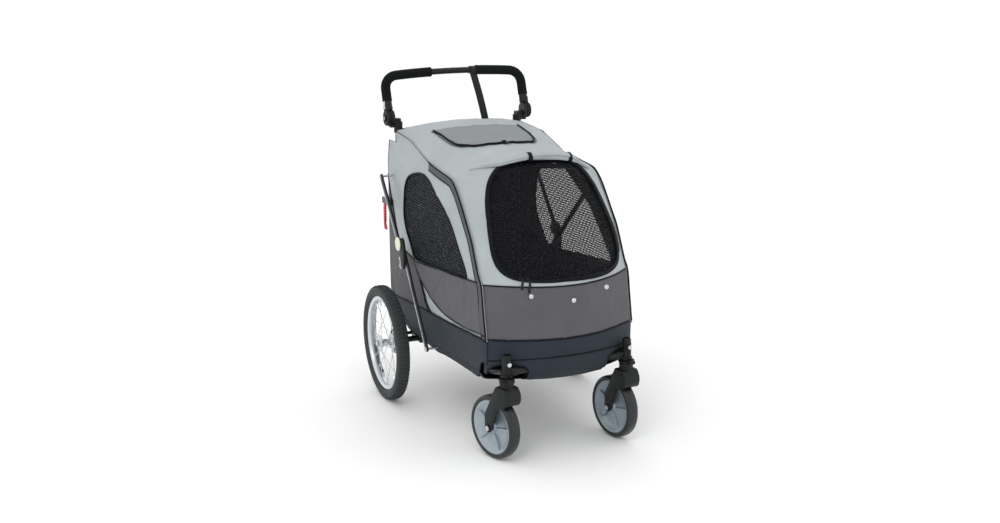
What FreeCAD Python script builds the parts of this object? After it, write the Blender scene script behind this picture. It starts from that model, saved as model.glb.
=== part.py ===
"""Four-wheeled folding pet stroller: frame, folding push bar, casters, spoked rear wheels and fabric cabin.

Frame of reference: +Z up, front towards -Y, left side (the walker's left) towards +X, origin on the
ground under the middle of the stroller.  Lengths are millimetres, angles degrees.
"""
import FreeCAD
import Part
import Sketcher
import math
import os
from FreeCAD import Placement, Rotation, Vector

SIZES = {
    # rear wheels
    "rear_radius": 200.0, "rear_seat": 161.0, "rear_half_track": 356.0, "rear_half_width": 23.0,
    "rear_rim_half": 13.0, "rim_bed": 9.0, "hub_half": 27.0, "hub_radius": 14.0, "flange_radius": 30.0,
    "drum_radius": 42.0, "axle_y": 237.0, "axle_radius": 6.0, "axle_tube_radius": 10.0,
    "spoke_count": 20.0, "spoke_radius": 1.2,
    # front casters
    "front_radius": 101.0, "front_half_width": 20.0, "front_seat": 84.0, "front_hub": 15.0,
    "caster_x": 206.0, "caster_y": -456.0, "trail": 54.0, "right_swivel": 16.0, "left_swivel": 8.5,
    "stem_radius": 7.0, "crown_radius": 22.5, "crown_top": 266.0, "socket_radius": 13.0, "socket_top": 345.0,
    "fork_arm": 6.0, "bolt_radius": 4.0,
    # tubular frame
    "tube_radius": 11.0, "tube_wall": 1.8, "rail_x": 228.0, "rail_height": 262.0, "front_rail_height": 288.0,
    "pivot_y": 430.0, "pivot_height": 300.0, "hinge_y": 420.6, "hinge_height": 953.5, "cross_reach": 300.0,
    "plate": 4.0, "pin_radius": 4.0, "arch_radius": 7.0, "hoop_radius": 8.0, "hoop_x": 205.0,
    "hoop_y": 314.0, "hoop_height": 292.0, "hoop_front_y": -176.0, "hoop_front_height": 765.0,
    # side braces
    "brace_y": 10.0, "brace_height": 234.0, "knee_y": 235.0, "knee_height": 546.0, "brace_top_y": 411.0,
    "brace_top_height": 751.0, "brace_width": 18.0, "brace_depth": 8.0, "knee_radius": 24.0,
    "brace_inner": 284.0,
    # push handle
    "handle_x": 260.0, "handle_reach": 149.0, "handle_lean": 18.3, "handle_bend": 46.0, "bow_angle": 4.1,
    "hinge_radius": 27.0, "grip_radius": 17.0, "grip_start": 40.0, "grip_gap": 87.0, "knob_radius": 12.0,
    # cabin fabric
    "half_width": 250.0, "cloth": 4.0, "tub_top": 345.0, "panel_top": 548.0, "front_y": -490.0,
    "corner_y": -405.0, "rear_y": 488.0, "roof_height": 936.0, "door_half": 196.0, "cushion_half": 190.0,
    "cushion_depth": 30.0, "board_depth": 6.0,
    # running and trim clearances
    "running": 0.05, "gap": 0.5,
}


class Size:
    """A length that carries both its value and the spreadsheet formula that gives it."""

    def __init__(self, value, text):
        self.value = float(value)
        self.text = text

    def __float__(self):
        return self.value

    def __add__(self, other):
        other = as_size(other)
        return Size(self.value + other.value, "(%s + %s)" % (self.text, other.text))

    def __sub__(self, other):
        other = as_size(other)
        return Size(self.value - other.value, "(%s - %s)" % (self.text, other.text))

    def __mul__(self, other):
        other = as_size(other)
        return Size(self.value * other.value, "(%s * %s)" % (self.text, other.text))

    def __truediv__(self, other):
        other = as_size(other)
        return Size(self.value / other.value, "(%s / %s)" % (self.text, other.text))

    def __radd__(self, other):
        return as_size(other) + self

    def __rsub__(self, other):
        return as_size(other) - self

    def __rmul__(self, other):
        return as_size(other) * self

    def __neg__(self):
        return self * -1.0


def as_size(number):
    return number if isinstance(number, Size) else Size(number, "(%r)" % float(number))


class Sheet:
    """Every named size as an attribute, such as at.rear_radius."""


doc = FreeCAD.newDocument("PetStroller")
sheet = doc.addObject("Spreadsheet::Sheet", "sizes")
at = Sheet()
for row, (alias, number) in enumerate(SIZES.items(), start=1):
    sheet.set("A%d" % row, alias)
    sheet.set("B%d" % row, repr(number))
    sheet.setAlias("B%d" % row, alias)
    setattr(at, alias, Size(number, "sizes." + alias))
doc.recompute()

NODES = {}
SIDES = (("right", -1.0), ("left", 1.0))


def node(name, item):
    """Names a finished object as one piece of the stroller."""
    item.Label = name
    NODES[name] = item
    return item


def bind(item, prop, size):
    setattr(item, prop, float(size))
    item.setExpression(prop, as_size(size).text)


def put(item, x=0.0, y=0.0, z=0.0, rotation=None):
    """Places an object with its position bound to the spreadsheet."""
    item.Placement = Placement(Vector(float(x), float(y), float(z)), rotation or Rotation())
    for axis, size in (("x", x), ("y", y), ("z", z)):
        item.setExpression("Placement.Base." + axis, as_size(size).text)
    return item


def along(direction):
    return Rotation(Vector(0, 0, 1), Vector(*direction))


def rod(name, radius, length, x=0.0, y=0.0, z=0.0, direction=(1, 0, 0)):
    """Round bar that starts at a point and runs in a direction."""
    item = doc.addObject("Part::Cylinder", name)
    bind(item, "Radius", radius)
    bind(item, "Height", length)
    return put(item, x, y, z, along(direction))


def block(name, length, width, height, x=0.0, y=0.0, z=0.0):
    item = doc.addObject("Part::Box", name)
    bind(item, "Length", length)
    bind(item, "Width", width)
    bind(item, "Height", height)
    return put(item, x, y, z)


def cut(name, base, tool):
    item = doc.addObject("Part::Cut", name)
    item.Base = base
    item.Tool = tool
    return item


def cut_all(name, base, tools):
    for number, tool in enumerate(tools):
        base = cut("%s_cut%d" % (name, number), base, tool)
    return base


def fuse(name, pieces):
    item = doc.addObject("Part::MultiFuse", name)
    item.Shapes = pieces
    return item


def mirrored(name, source):
    """The same piece on the other side of the stroller's middle plane."""
    item = doc.addObject("Part::Mirroring", name)
    item.Source = source
    item.Normal = Vector(1, 0, 0)
    return item


def both_sides(name, source):
    item = doc.addObject("Part::Compound", name)
    item.Links = [source, mirrored(name + "_other", source)]
    return node(name, item)


def made(name, shape):
    """A piece whose shape is worked out below from the named sizes."""
    item = doc.addObject("Part::Feature", name)
    item.Shape = shape
    return item


def profile(name, points, plane="XY_Plane"):
    """A body with one closed sketch whose corners are bound to the spreadsheet."""
    body = doc.addObject("PartDesign::Body", name)
    sketch = body.newObject("Sketcher::SketchObject", name + "_sketch")
    origin = [face for face in body.Origin.OriginFeatures if face.Role == plane][0]
    sketch.AttachmentSupport = [(origin, "")]
    sketch.MapMode = "FlatFace"
    corners = [Vector(float(u), float(v), 0) for u, v in points]
    count = len(corners)
    for number in range(count):
        sketch.addGeometry(Part.LineSegment(corners[number], corners[(number + 1) % count]))
    for number in range(count):
        sketch.addConstraint(Sketcher.Constraint("Coincident", number, 2, (number + 1) % count, 1))
    for number, (u, v) in enumerate(points):
        for kind, size in (("DistanceX", u), ("DistanceY", v)):
            size = as_size(size)
            index = sketch.addConstraint(Sketcher.Constraint(kind, -1, 1, number, 1, size.value))
            sketch.setExpression("Constraints[%d]" % index, size.text)
    return body, sketch


def padded_plate(name, points, depth, plane="YZ_Plane", centred=False):
    """A flat piece of one thickness."""
    body, sketch = profile(name, points, plane)
    pad = body.newObject("PartDesign::Pad", name + "_pad")
    pad.Profile = sketch
    bind(pad, "Length", depth)
    pad.Midplane = centred
    return body


def turned(name, points):
    """A round piece turned about its own X axis: each corner is (place along the axis, radius)."""
    body, sketch = profile(name, points, "XY_Plane")
    turn = body.newObject("PartDesign::Revolution", name + "_turn")
    turn.Profile = sketch
    turn.ReferenceAxis = (sketch, ["H_Axis"])
    turn.Angle = 360.0
    return body


def path_wire(points, bend):
    """Straight runs joined by tangent arcs of one radius."""
    points = [Vector(*[float(value) for value in point]) for point in points]
    edges = []
    start = points[0]
    for here, ahead in zip(points[1:-1], points[2:]):
        run_in = (here - start).normalize()
        run_out = (ahead - here).normalize()
        turn = run_in.getAngle(run_out)
        reach = bend * math.tan(turn / 2)
        first = here - run_in * reach
        last = here + run_out * reach
        inward = (run_out - run_in).normalize()
        centre = here + inward * (bend / math.cos(turn / 2))
        middle = centre - inward * bend
        edges.append(Part.LineSegment(start, first).toShape())
        edges.append(Part.Arc(first, middle, last).toShape())
        start = last
    edges.append(Part.LineSegment(start, points[-1]).toShape())
    return Part.Wire(edges)


def swept(wire, radius):
    first = wire.OrderedEdges[0]
    start = first.valueAt(first.FirstParameter)
    ahead = first.tangentAt(first.FirstParameter)
    ring = Part.Wire([Part.makeCircle(radius, start, ahead)])
    return wire.makePipeShell([ring], True, False)


def tube(wire, radius, wall):
    return swept(wire, float(radius)).cut(swept(wire, float(radius) - float(wall)))


# ---------------------------------------------------------------- rear wheels
# A rubber tyre on an aluminium rim, laced with wire spokes to an aluminium hub.  The hub carries the
# brake drum on the inner side.

def round_tyre(name, seat, outer, half):
    """Tyre section: straight bead walls, round shoulders and crown."""
    wall = (outer - seat) * 0.42
    points = [(half * -0.62, seat)]
    for step in range(9):
        angle = math.radians(180.0 * step / 8)
        points.append((half * -math.cos(angle), seat + wall + (outer - seat - wall) * math.sin(angle)))
    points.append((half * 0.62, seat))
    return turned(name, points)


def rear_wheel(side, sign):
    centre_x = at.rear_half_track * sign
    seat = at.rear_seat
    rim_half = at.rear_rim_half
    tyre = node(side + "_rear_tyre", round_tyre(side + "_rear_tyre", seat, at.rear_radius, at.rear_half_width))
    rim = node(side + "_rear_rim", turned(side + "_rear_rim", [
        (-rim_half, seat - at.rim_bed), (-rim_half, seat), (rim_half, seat), (rim_half, seat - at.rim_bed),
        (rim_half * 0.5, seat - at.rim_bed - 3.0), (rim_half * -0.5, seat - at.rim_bed - 3.0)]))
    bore = at.axle_radius + at.running
    half = at.hub_half
    shell = turned(side + "_hub_shell", [
        (-half, bore), (-half, at.hub_radius), (3.0 - half, at.hub_radius), (3.0 - half, at.flange_radius),
        (6.0 - half, at.flange_radius), (6.0 - half, at.hub_radius), (half - 6.0, at.hub_radius),
        (half - 6.0, at.flange_radius), (half - 3.0, at.flange_radius), (half - 3.0, at.hub_radius),
        (half, at.hub_radius), (half, bore)])
    drum = turned(side + "_brake_drum", [
        (-half - 8.0, bore), (-half - 8.0, at.drum_radius), (-half - 2.0, at.drum_radius),
        (-half - 2.0, at.hub_radius), (-half, at.hub_radius), (-half, bore)])
    whole = fuse(side + "_hub_blank", [shell, drum])
    hub = node(side + "_rear_hub", whole)
    spokes = node(side + "_rear_spokes", made(side + "_rear_spokes", spoke_set()))
    for item in (tyre, rim, spokes):
        put(item, centre_x, at.axle_y, at.rear_radius)
    turn = Rotation(Vector(0, 0, 1), 180) if sign < 0 else Rotation()
    put(hub, centre_x, at.axle_y, at.rear_radius, turn)


def spoke_set():
    """Wire spokes that leave the two hub flanges at a slant and meet the rim bed."""
    count = int(float(at.spoke_count))
    radius = float(at.spoke_radius)
    rim = float(at.rear_seat - at.rim_bed) - 3.0
    foot = float(at.flange_radius) - 4.0
    spokes = []
    for number in range(count):
        angle = 2 * math.pi * number / count
        way = 1 if number % 4 < 2 else -1
        lean = math.radians(62) * way
        flange = (float(at.hub_half) - 4.5) * (1 if number % 2 else -1)
        layer = 1.5 * way
        start = Vector(flange + layer, foot * math.cos(angle + lean), foot * math.sin(angle + lean))
        end = Vector(flange * 0.1 + layer, rim * math.cos(angle), rim * math.sin(angle))
        spokes.append(Part.makeCylinder(radius, (end - start).Length, start, end - start))
    return Part.makeCompound(spokes)


for side_name, side_sign in SIDES:
    rear_wheel(side_name, side_sign)

# ---------------------------------------------------------------- rear axle
# A steel tube across the stroller with a pressed-in pin at each end for the wheels.
tube_end = at.rear_half_track - at.hub_half - 16.0
axle_blank = rod("axle_blank", at.axle_tube_radius, tube_end * 2, -tube_end, at.axle_y, at.rear_radius)
axle_bore = rod("axle_bore", at.axle_radius, tube_end * 2 + 2, -tube_end - 1.0, at.axle_y, at.rear_radius)
node("axle_tube", cut("axle_tube", axle_blank, axle_bore))

pin_end = at.rear_half_track + at.hub_half + 1.0
axle_pin = rod("axle_pin", at.axle_radius, pin_end - tube_end + 60.0, tube_end - 60.0, at.axle_y, at.rear_radius)
axle_cap = rod("axle_cap", at.axle_radius + 4.0, 5.0, pin_end, at.axle_y, at.rear_radius)
both_sides("axle_pins", fuse("axle_pin_capped", [axle_pin, axle_cap]))

# ---------------------------------------------------------------- frame tubes
# Two side rails run under the cabin floor from the rear pivots to the caster sockets, which a cross
# tube ties together.
rail = made("rail", tube(path_wire([
    (at.rail_x, at.pivot_y - 26.0, at.pivot_height - 18.0),
    (at.rail_x, at.pivot_y - 130.0, at.rail_height),
    (at.rail_x, at.caster_y + 120.0, at.rail_height),
    (at.caster_x + 3.0, at.caster_y + at.socket_radius + 2.0, at.front_rail_height)],
    60.0), at.tube_radius, at.tube_wall))
both_sides("side_rails", rail)

inner_reach = at.caster_x - at.socket_radius + 0.5
node("front_cross_tube", cut(
    "front_cross_tube",
    rod("cross_outer", at.tube_radius, inner_reach * 2 - 3.0, -inner_reach + 1.5, at.caster_y + 6.0,
        at.front_rail_height),
    rod("cross_inner", at.tube_radius - at.tube_wall, inner_reach * 2, -inner_reach, at.caster_y + 6.0,
        at.front_rail_height)))

rail_gap = at.rail_x - at.tube_radius
# Axle brackets: cast blocks that hang the axle tube and the brake shaft under the rails.
BRAKE_DY = 58.0
BRAKE_DZ = 4.0
bracket_body = padded_plate("axle_bracket_plate", [
    (at.axle_y - 17.0, at.rear_radius - 14.0), (at.axle_y + BRAKE_DY + 12.0, at.rear_radius - 12.0),
    (at.axle_y + BRAKE_DY + 12.0, at.rear_radius + 18.0), (at.axle_y + 17.0, at.rear_radius + 26.0),
    (at.axle_y + 17.0, at.rail_height - at.tube_radius), (at.axle_y - 17.0, at.rail_height - at.tube_radius)],
    16.0)
put(bracket_body, at.rail_x - 8.0)
bracket_holes = [
    rod("bracket_axle_hole", at.axle_tube_radius, 20.0, at.rail_x - 10.0, at.axle_y, at.rear_radius),
    rod("bracket_shaft_hole", 6.0 + at.running, 20.0, at.rail_x - 10.0, at.axle_y + BRAKE_DY,
        at.rear_radius + BRAKE_DZ)]
both_sides("axle_brackets", cut_all("axle_bracket", bracket_body, bracket_holes))

# Pivot brackets: a folded channel on the tail of each rail, with the two cheeks that carry the push
# frame's pivot pin, and lower down the lug for the hood hoop and the drop lug for the side brace.
cheek_gap = at.tube_radius + at.gap
foot_z = at.pivot_height - 16.0
cheek_front = at.pivot_y - 44.0
cheek_rear = at.pivot_y + 8.0
cheek_outline = [
    (cheek_front, foot_z - at.plate - 8.0), (at.pivot_y, foot_z - at.plate), (cheek_rear, foot_z + at.plate),
    (cheek_rear, at.pivot_height + 14.0), (at.pivot_y - 14.0, at.pivot_height + 14.0),
    (cheek_front, at.pivot_height - 4.0)]
outer_cheek = padded_plate("pivot_cheek_outer", cheek_outline, at.plate)
put(outer_cheek, at.rail_x + cheek_gap)
inner_cheek = padded_plate("pivot_cheek_inner", cheek_outline, at.plate)
put(inner_cheek, at.rail_x - cheek_gap - at.plate)
floor_plate = padded_plate("pivot_floor", [
    (at.pivot_y - 20.0, foot_z - at.plate), (at.pivot_y, foot_z - at.plate),
    (at.pivot_y, foot_z), (at.pivot_y - 20.0, foot_z)], cheek_gap * 2 + at.plate * 2)
put(floor_plate, at.rail_x - cheek_gap - at.plate)
channel = fuse("pivot_channel", [outer_cheek, inner_cheek, floor_plate])
pivot_hole = rod("pivot_hole", at.pin_radius, 60.0, at.rail_x - 30.0, at.pivot_y, at.pivot_height)
pivot_channel = cut("pivot_channel_bored", channel, pivot_hole)
hoop_lug = padded_plate("hoop_lug", [
    (at.hoop_y - 12.0, at.rail_height - 6.0), (at.hoop_y + 12.0, at.rail_height - 6.0),
    (at.hoop_y + 12.0, at.hoop_height + 10.0), (at.hoop_y - 12.0, at.hoop_height + 10.0)], 3.0)
put(hoop_lug, at.rail_x - at.tube_radius - 3.0)
hoop_lug = cut("hoop_lug_bored", hoop_lug, rod(
    "hoop_lug_hole", at.pin_radius, 20.0, at.rail_x - at.tube_radius - 10.0, at.hoop_y, at.hoop_height))
brace_lug = padded_plate("brace_lug", [
    (at.brace_y - 10.0, at.brace_height - 10.0), (at.brace_y + 10.0, at.brace_height - 10.0),
    (at.brace_y + 14.0, at.rail_height), (at.brace_y - 14.0, at.rail_height)], 3.0)
put(brace_lug, at.rail_x + at.tube_radius)
brace_lug = cut("brace_lug_bored", brace_lug, rod(
    "brace_lug_hole", at.pin_radius, 20.0, at.rail_x, at.brace_y, at.brace_height))
lugs = doc.addObject("Part::Compound", "lugs")
lugs.Links = [pivot_channel, hoop_lug, brace_lug]
both_sides("pivot_brackets", lugs)

# Pins pressed into those brackets: main pivot, hood hoop pivot and the brace's lower bolt.
brace_mid = at.brace_inner + at.brace_depth
main_pin = rod("main_pin", at.pin_radius, cheek_gap * 2 + at.plate * 2 + 1.0,
               at.rail_x - cheek_gap - at.plate - 1.0, at.pivot_y, at.pivot_height)
hoop_pin = rod("hoop_pin", at.pin_radius, at.rail_x - at.tube_radius - at.hoop_x + 6.0,
               at.hoop_x - 6.0, at.hoop_y, at.hoop_height)
brace_pin = rod("brace_pin", at.pin_radius, brace_mid + 2.0 - at.rail_x - at.tube_radius,
                at.rail_x + at.tube_radius, at.brace_y, at.brace_height)
pins = doc.addObject("Part::Compound", "pins")
pins.Links = [main_pin, hoop_pin, brace_pin]
both_sides("frame_pins", pins)

# ---------------------------------------------------------------- floor
board_z = at.rail_height + at.tube_radius
board_rear = at.pivot_y - 150.0
board_front = at.caster_y + 150.0
node("floor_board", block("floor_board", (at.half_width - at.cloth - 2.0) * 2, board_rear - board_front,
                          at.board_depth, -(at.half_width - at.cloth - 2.0), board_front, board_z))
cushion_front = at.front_y + 75.0
cushion_box = block("cushion_box", at.cushion_half * 2, at.pivot_y - 45.0 - cushion_front, at.cushion_depth,
                    -at.cushion_half, cushion_front, board_z + at.board_depth)
cushion = doc.addObject("Part::Fillet", "cushion")
cushion.Base = cushion_box
doc.recompute()
soft_edge = float(at.cushion_depth) * 0.4
cushion.Edges = [(number + 1, soft_edge, soft_edge) for number in range(12)]
node("cushion", cushion)

# ---------------------------------------------------------------- caster sockets and stems
# Moulded sockets at the rails' noses take the quick-release caster stems.
socket_bottom = at.crown_top + 7.0
socket_height = at.socket_top - socket_bottom
socket = fuse("socket_blank", [
    rod("socket_barrel", at.socket_radius, socket_height, at.caster_x, at.caster_y, socket_bottom, (0, 0, 1)),
    rod("socket_foot", at.socket_radius + 5.0, 12.0, at.caster_x, at.caster_y, socket_bottom, (0, 0, 1))])
button_z = at.socket_top - 26.0
both_sides("caster_sockets", cut_all("caster_socket", socket, [
    rod("socket_bore", at.stem_radius, socket_height - 5.0, at.caster_x, at.caster_y, socket_bottom - 1.0,
        (0, 0, 1)),
    rod("socket_button_hole", 5.0 + at.running, 30.0, at.caster_x, at.caster_y, button_z, (0, -1, 0)),
    rod("socket_tube_hole", at.tube_radius, 30.0, at.caster_x - at.socket_radius - 28.5, at.caster_y + 6.0,
        at.front_rail_height)]))

guides = [block("lock_guide%d" % number, 3.0, 20.0, 10.0, start, at.caster_y - at.crown_radius - 17.0,
                at.crown_top + 1.5)
          for number, start in enumerate((at.caster_x - 9.5, at.caster_x + 6.5))]
stem = fuse("stem_blank", guides + [
    rod("stem_rod", at.stem_radius, at.socket_top - 12.0 - 214.0, at.caster_x, at.caster_y, 214.0, (0, 0, 1)),
    rod("stem_collar", at.crown_radius + 3.0, 5.0, at.caster_x, at.caster_y, at.crown_top + 1.5, (0, 0, 1))])
both_sides("caster_stems", cut("caster_stem", stem, rod(
    "stem_button_hole", 5.0 + at.running, 30.0, at.caster_x, at.caster_y, button_z, (0, -1, 0))))

# Snap buttons that hold the stems in their sockets, sprung outwards.
for side_name, side_sign in SIDES:
    x = at.caster_x * side_sign
    pieces = [
        rod(side_name + "_snap_shank", 5.0, at.socket_radius + 1.5, x, at.caster_y - 5.5, button_z, (0, -1, 0)),
        rod(side_name + "_snap_head", 6.5, 3.0, x, at.caster_y - 4.0 - at.socket_radius - 3.0, button_z,
            (0, -1, 0))]
    node(side_name + "_snap_button", fuse(side_name + "_snap_button", pieces))
    # Swivel locks: a small tab under the collar's front edge that drops into the fork crown.
    tab = block(side_name + "_lock_tab", 12.0, 12.0, 9.0, x - 6.0, at.caster_y - at.crown_radius - 15.5,
                at.crown_top + 2.0)
    node(side_name + "_swivel_lock", tab)

# ---------------------------------------------------------------- front casters
# A moulded two-arm fork with a hooded crown, a dished silver wheel and a solid tyre on a through bolt.

def caster(side, sign, swivel):
    place = Rotation(Vector(0, 0, 1), float(swivel))
    x = at.caster_x * sign
    arm_out = at.front_half_width + 4.0 + at.fork_arm
    axle_z = at.front_radius
    trail = at.trail
    blank = padded_plate(side + "_fork_blank", [
        (-22.0, at.crown_top), (22.0, at.crown_top), (30.0, axle_z + 118.0), (trail + 16.0, axle_z + 40.0),
        (trail + 14.0, axle_z - 4.0), (trail + 6.0, axle_z - 13.0), (trail - 6.0, axle_z - 13.0),
        (trail - 15.0, axle_z - 2.0), (8.0, axle_z + 72.0), (-26.0, axle_z + 86.0), (-34.0, axle_z + 104.0),
        (-30.0, axle_z + 128.0), (-22.0, axle_z + 142.0)], arm_out * 2, centred=True)
    crown = rod(side + "_crown", at.crown_radius, at.crown_top - axle_z - 125.0, 0, 0, axle_z + 125.0, (0, 0, 1))
    flank = at.crown_radius + 0.5
    shoulder = [
        block(side + "_flank%d" % number, 40.0, 90.0, 60.0, start, -50.0, axle_z + 128.0)
        for number, start in enumerate((flank, -flank - 40.0))]
    clear = [
        rod(side + "_tyre_room", at.front_radius + 5.0, at.front_half_width * 2 + 8.0,
            -at.front_half_width - 4.0, trail, axle_z),
        block(side + "_wheel_room", at.front_half_width * 2 + 8.0, 200.0, at.front_radius,
              -at.front_half_width - 4.0, trail - 100.0, axle_z - at.front_radius),
        rod(side + "_stem_bore", at.stem_radius + at.running, 200.0, 0, 0, axle_z + 95.0, (0, 0, 1)),
        rod(side + "_bolt_bore", at.bolt_radius, 100.0, -50.0, trail, axle_z)]
    shaped = cut_all(side + "_fork_arms", blank, shoulder)
    fork = cut_all(side + "_fork_whole", fuse(side + "_fork_union", [shaped, crown]), clear)
    node(side + "_fork", fork)
    bolt = fuse(side + "_bolt_whole", [
        rod(side + "_bolt", at.bolt_radius, arm_out * 2 + 2.0, -arm_out - 1.0, trail, axle_z),
        rod(side + "_bolt_head", at.bolt_radius + 4.0, 4.0, -arm_out - 4.0, trail, axle_z),
        rod(side + "_bolt_nut", at.bolt_radius + 3.0, 4.0, arm_out, trail, axle_z)])
    node(side + "_caster_bolt", bolt)
    for item in (fork, bolt):
        put(item, x, at.caster_y, 0.0, place)
    seat = at.front_seat
    half = at.front_half_width
    bore = at.bolt_radius + at.running
    tyre = round_tyre(side + "_front_tyre", seat, at.front_radius, half)
    rim = turned(side + "_front_rim", [
        (-half, bore), (-half, at.front_hub), (half * -0.45, at.front_hub + 4.0), (half * -0.2, seat - 22.0),
        (half * -0.8, seat - 6.0), (half * -0.8, seat), (half * 0.8, seat), (half * 0.8, seat - 6.0),
        (half * 0.2, seat - 22.0), (half * 0.45, at.front_hub + 4.0), (half, at.front_hub), (half, bore)])
    turn = math.radians(float(swivel))
    wheel_x = x - trail * math.sin(turn)
    wheel_y = at.caster_y + trail * math.cos(turn)
    for name, item in (("_front_tyre", tyre), ("_front_rim", rim)):
        node(side + name, item)
        put(item, wheel_x, wheel_y, axle_z, place)


caster("right", -1.0, at.right_swivel)
caster("left", 1.0, at.left_swivel)

# ---------------------------------------------------------------- push frame
# Two uprights on the rear pivots, tied by a cross tube and by the arch that carries the roof's rear edge.
pivot = Vector(0, float(at.pivot_y), float(at.pivot_height))
hinge = Vector(0, float(at.hinge_y), float(at.hinge_height))
upright_way = (hinge - pivot).normalize()
upright_top = hinge - upright_way * (float(at.hinge_radius) + 8.0)
side_x = Vector(float(at.rail_x), 0, 0)
upright = Part.makeCylinder(float(at.tube_radius), (upright_top - pivot).Length, side_x + pivot, upright_way)
hollow = Part.makeCylinder(float(at.tube_radius - at.tube_wall), 2000,
                           side_x + pivot + upright_way * 30.0, upright_way)
pivot_bore = Part.makeCylinder(float(at.pin_radius + at.running), 60, side_x + pivot - Vector(30, 0, 0),
                               Vector(1, 0, 0))
upright_foot = Part.makeCylinder(float(at.tube_radius), 8.0, side_x + pivot, -upright_way)
both_sides("uprights", made("upright", upright.fuse(upright_foot).removeSplitter().cut(hollow).cut(pivot_bore)))

cross_centre = pivot + upright_way * float(at.cross_reach)
cross = Part.makeCylinder(float(at.tube_radius) - 2, float(rail_gap) * 2,
                          cross_centre - Vector(float(rail_gap), 0, 0), Vector(1, 0, 0))
cross = cross.cut(Part.makeCylinder(float(at.tube_radius) - 3.6, float(rail_gap) * 2 + 2,
                                    cross_centre - Vector(float(rail_gap) + 1, 0, 0), Vector(1, 0, 0)))
node("frame_cross_tube", made("frame_cross_tube", cross))

arch_y = float(at.hinge_y) + 8.0
arch_end_z = float(at.hinge_height) - 51.0
arch_top_z = float(at.roof_height) - float(at.cloth) - float(at.arch_radius) - 3.0
arch_wire = Part.Wire([Part.Arc(
    Vector(-float(rail_gap) + 0.5, arch_y - 6.0, arch_end_z), Vector(0, arch_y, arch_top_z),
    Vector(float(rail_gap) - 0.5, arch_y - 6.0, arch_end_z)).toShape()])
node("rear_arch", made("rear_arch", tube(arch_wire, at.arch_radius, 1.5)))

# Hinge bases: moulded lower halves of the handle hinges, each a cup on the upright, an arm outwards and
# a disc on the hinge axis.
disc_depth = 12.0
disc_x = at.handle_x - 1.0 - disc_depth
hinge_disc = rod("hinge_disc", at.hinge_radius, disc_depth, disc_x, at.hinge_y, at.hinge_height)
cup_z = float(at.hinge_radius) + 8.0
cup_start = side_x + hinge - upright_way * (cup_z + 18.0)
cup = made("hinge_cup", Part.makeCylinder(float(at.tube_radius) + 4, 38.0, cup_start, upright_way).cut(
    Part.makeCylinder(float(at.tube_radius), 18.0, cup_start, upright_way)))
arm = block("hinge_arm", disc_x + disc_depth - at.rail_x + 6.0, 26.0, 30.0, at.rail_x - 6.0,
            at.hinge_y - 13.0, at.hinge_height - at.hinge_radius - 6.0)
arm_clear = made("hinge_arm_clear", Part.makeCylinder(float(at.tube_radius), 60.0,
                                                      side_x + hinge - upright_way * (cup_z + 60.0), upright_way))
hinge_hole = rod("hinge_hole", at.pin_radius + at.running, 40.0, disc_x - 20.0, at.hinge_y, at.hinge_height)
both_sides("hinge_bases", cut_all(
    "hinge_base", fuse("hinge_base_blank", [hinge_disc, cup, arm]), [hinge_hole, arm_clear]))

# Bolts that carry the tops of the side braces.
top_centre_y = float(at.brace_top_y)
top_z = float(at.brace_top_height)
upper_x = at.brace_inner + at.brace_depth + 2.0
reach_x = upper_x + at.brace_depth + 2.0 - at.rail_x - at.tube_radius
ear = padded_plate("brace_ear", [
    (at.brace_top_y - 12.0, at.brace_top_height - 12.0), (at.brace_top_y + 24.0, at.brace_top_height - 12.0),
    (at.brace_top_y + 24.0, at.brace_top_height + 12.0), (at.brace_top_y - 12.0, at.brace_top_height + 12.0)],
    3.0)
put(ear, at.rail_x + at.tube_radius)
bolt = rod("brace_bolt", at.pin_radius, reach_x, at.rail_x + at.tube_radius, at.brace_top_y,
           at.brace_top_height)
both_sides("brace_bolts", fuse("brace_bolt_eared", [ear, bolt]))

# Lever brackets: arms from the uprights out past the rear edge of the fabric for the fold-lock levers.
lever_top = 652.0
lever_y = float(at.rear_y) + 6.0
lever_body = block("lever_arm", 16.0, lever_y - 424.0 + 6.0, 22.0, at.half_width + 3.0, 424.0, lever_top - 12.0)
lever_stub = rod("lever_stub", 8.0, at.half_width + 4.0 - at.rail_x - at.tube_radius,
                 at.rail_x + at.tube_radius, 434.0, lever_top - 1.0)
lever_room = block("lever_room", 9.0, 30.0, 40.0, at.half_width + 6.5, lever_y - 17.0, lever_top - 20.0)
lever_pin = rod("lever_pin", 3.0, 14.0, at.half_width + 4.0, lever_y - 3.0, lever_top)
both_sides("lever_brackets", fuse("lever_bracket", [
    cut("lever_bracket_fork", fuse("lever_bracket_blank", [lever_body, lever_stub]), lever_room), lever_pin]))
for side_name, side_sign in SIDES:
    lever = padded_plate(side_name + "_fold_lever_plate", [
        (lever_y - 10.0, lever_top + 8.0), (lever_y + 5.0, lever_top + 8.0), (lever_y + 8.0, lever_top - 60.0),
        (lever_y + 9.0, lever_top - 96.0), (lever_y + 5.0, lever_top - 112.0),
        (lever_y - 16.0, lever_top - 108.0), (lever_y - 4.0, lever_top - 92.0),
        (lever_y - 8.0, lever_top - 60.0)], 8.0)
    start = at.half_width + 7.0 if side_sign > 0 else -at.half_width - 15.0
    put(lever, start)
    node(side_name + "_fold_lever", cut(side_name + "_fold_lever", lever, rod(
        side_name + "_lever_eye", 3.0 + at.running, 30.0, start - 10.0, lever_y - 3.0, lever_top)))

# ---------------------------------------------------------------- push handle
# A bent steel bar on the two hinge discs, with foam grips round both corners.
lean = math.radians(float(at.handle_lean))
rise = Vector(0, math.sin(lean), math.cos(lean))


def on_handle(x, reach):
    """A point in the handle's leaning plane, at a distance up from the hinge axis."""
    return Vector(float(x), 0, 0) + hinge + rise * float(reach)


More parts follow.
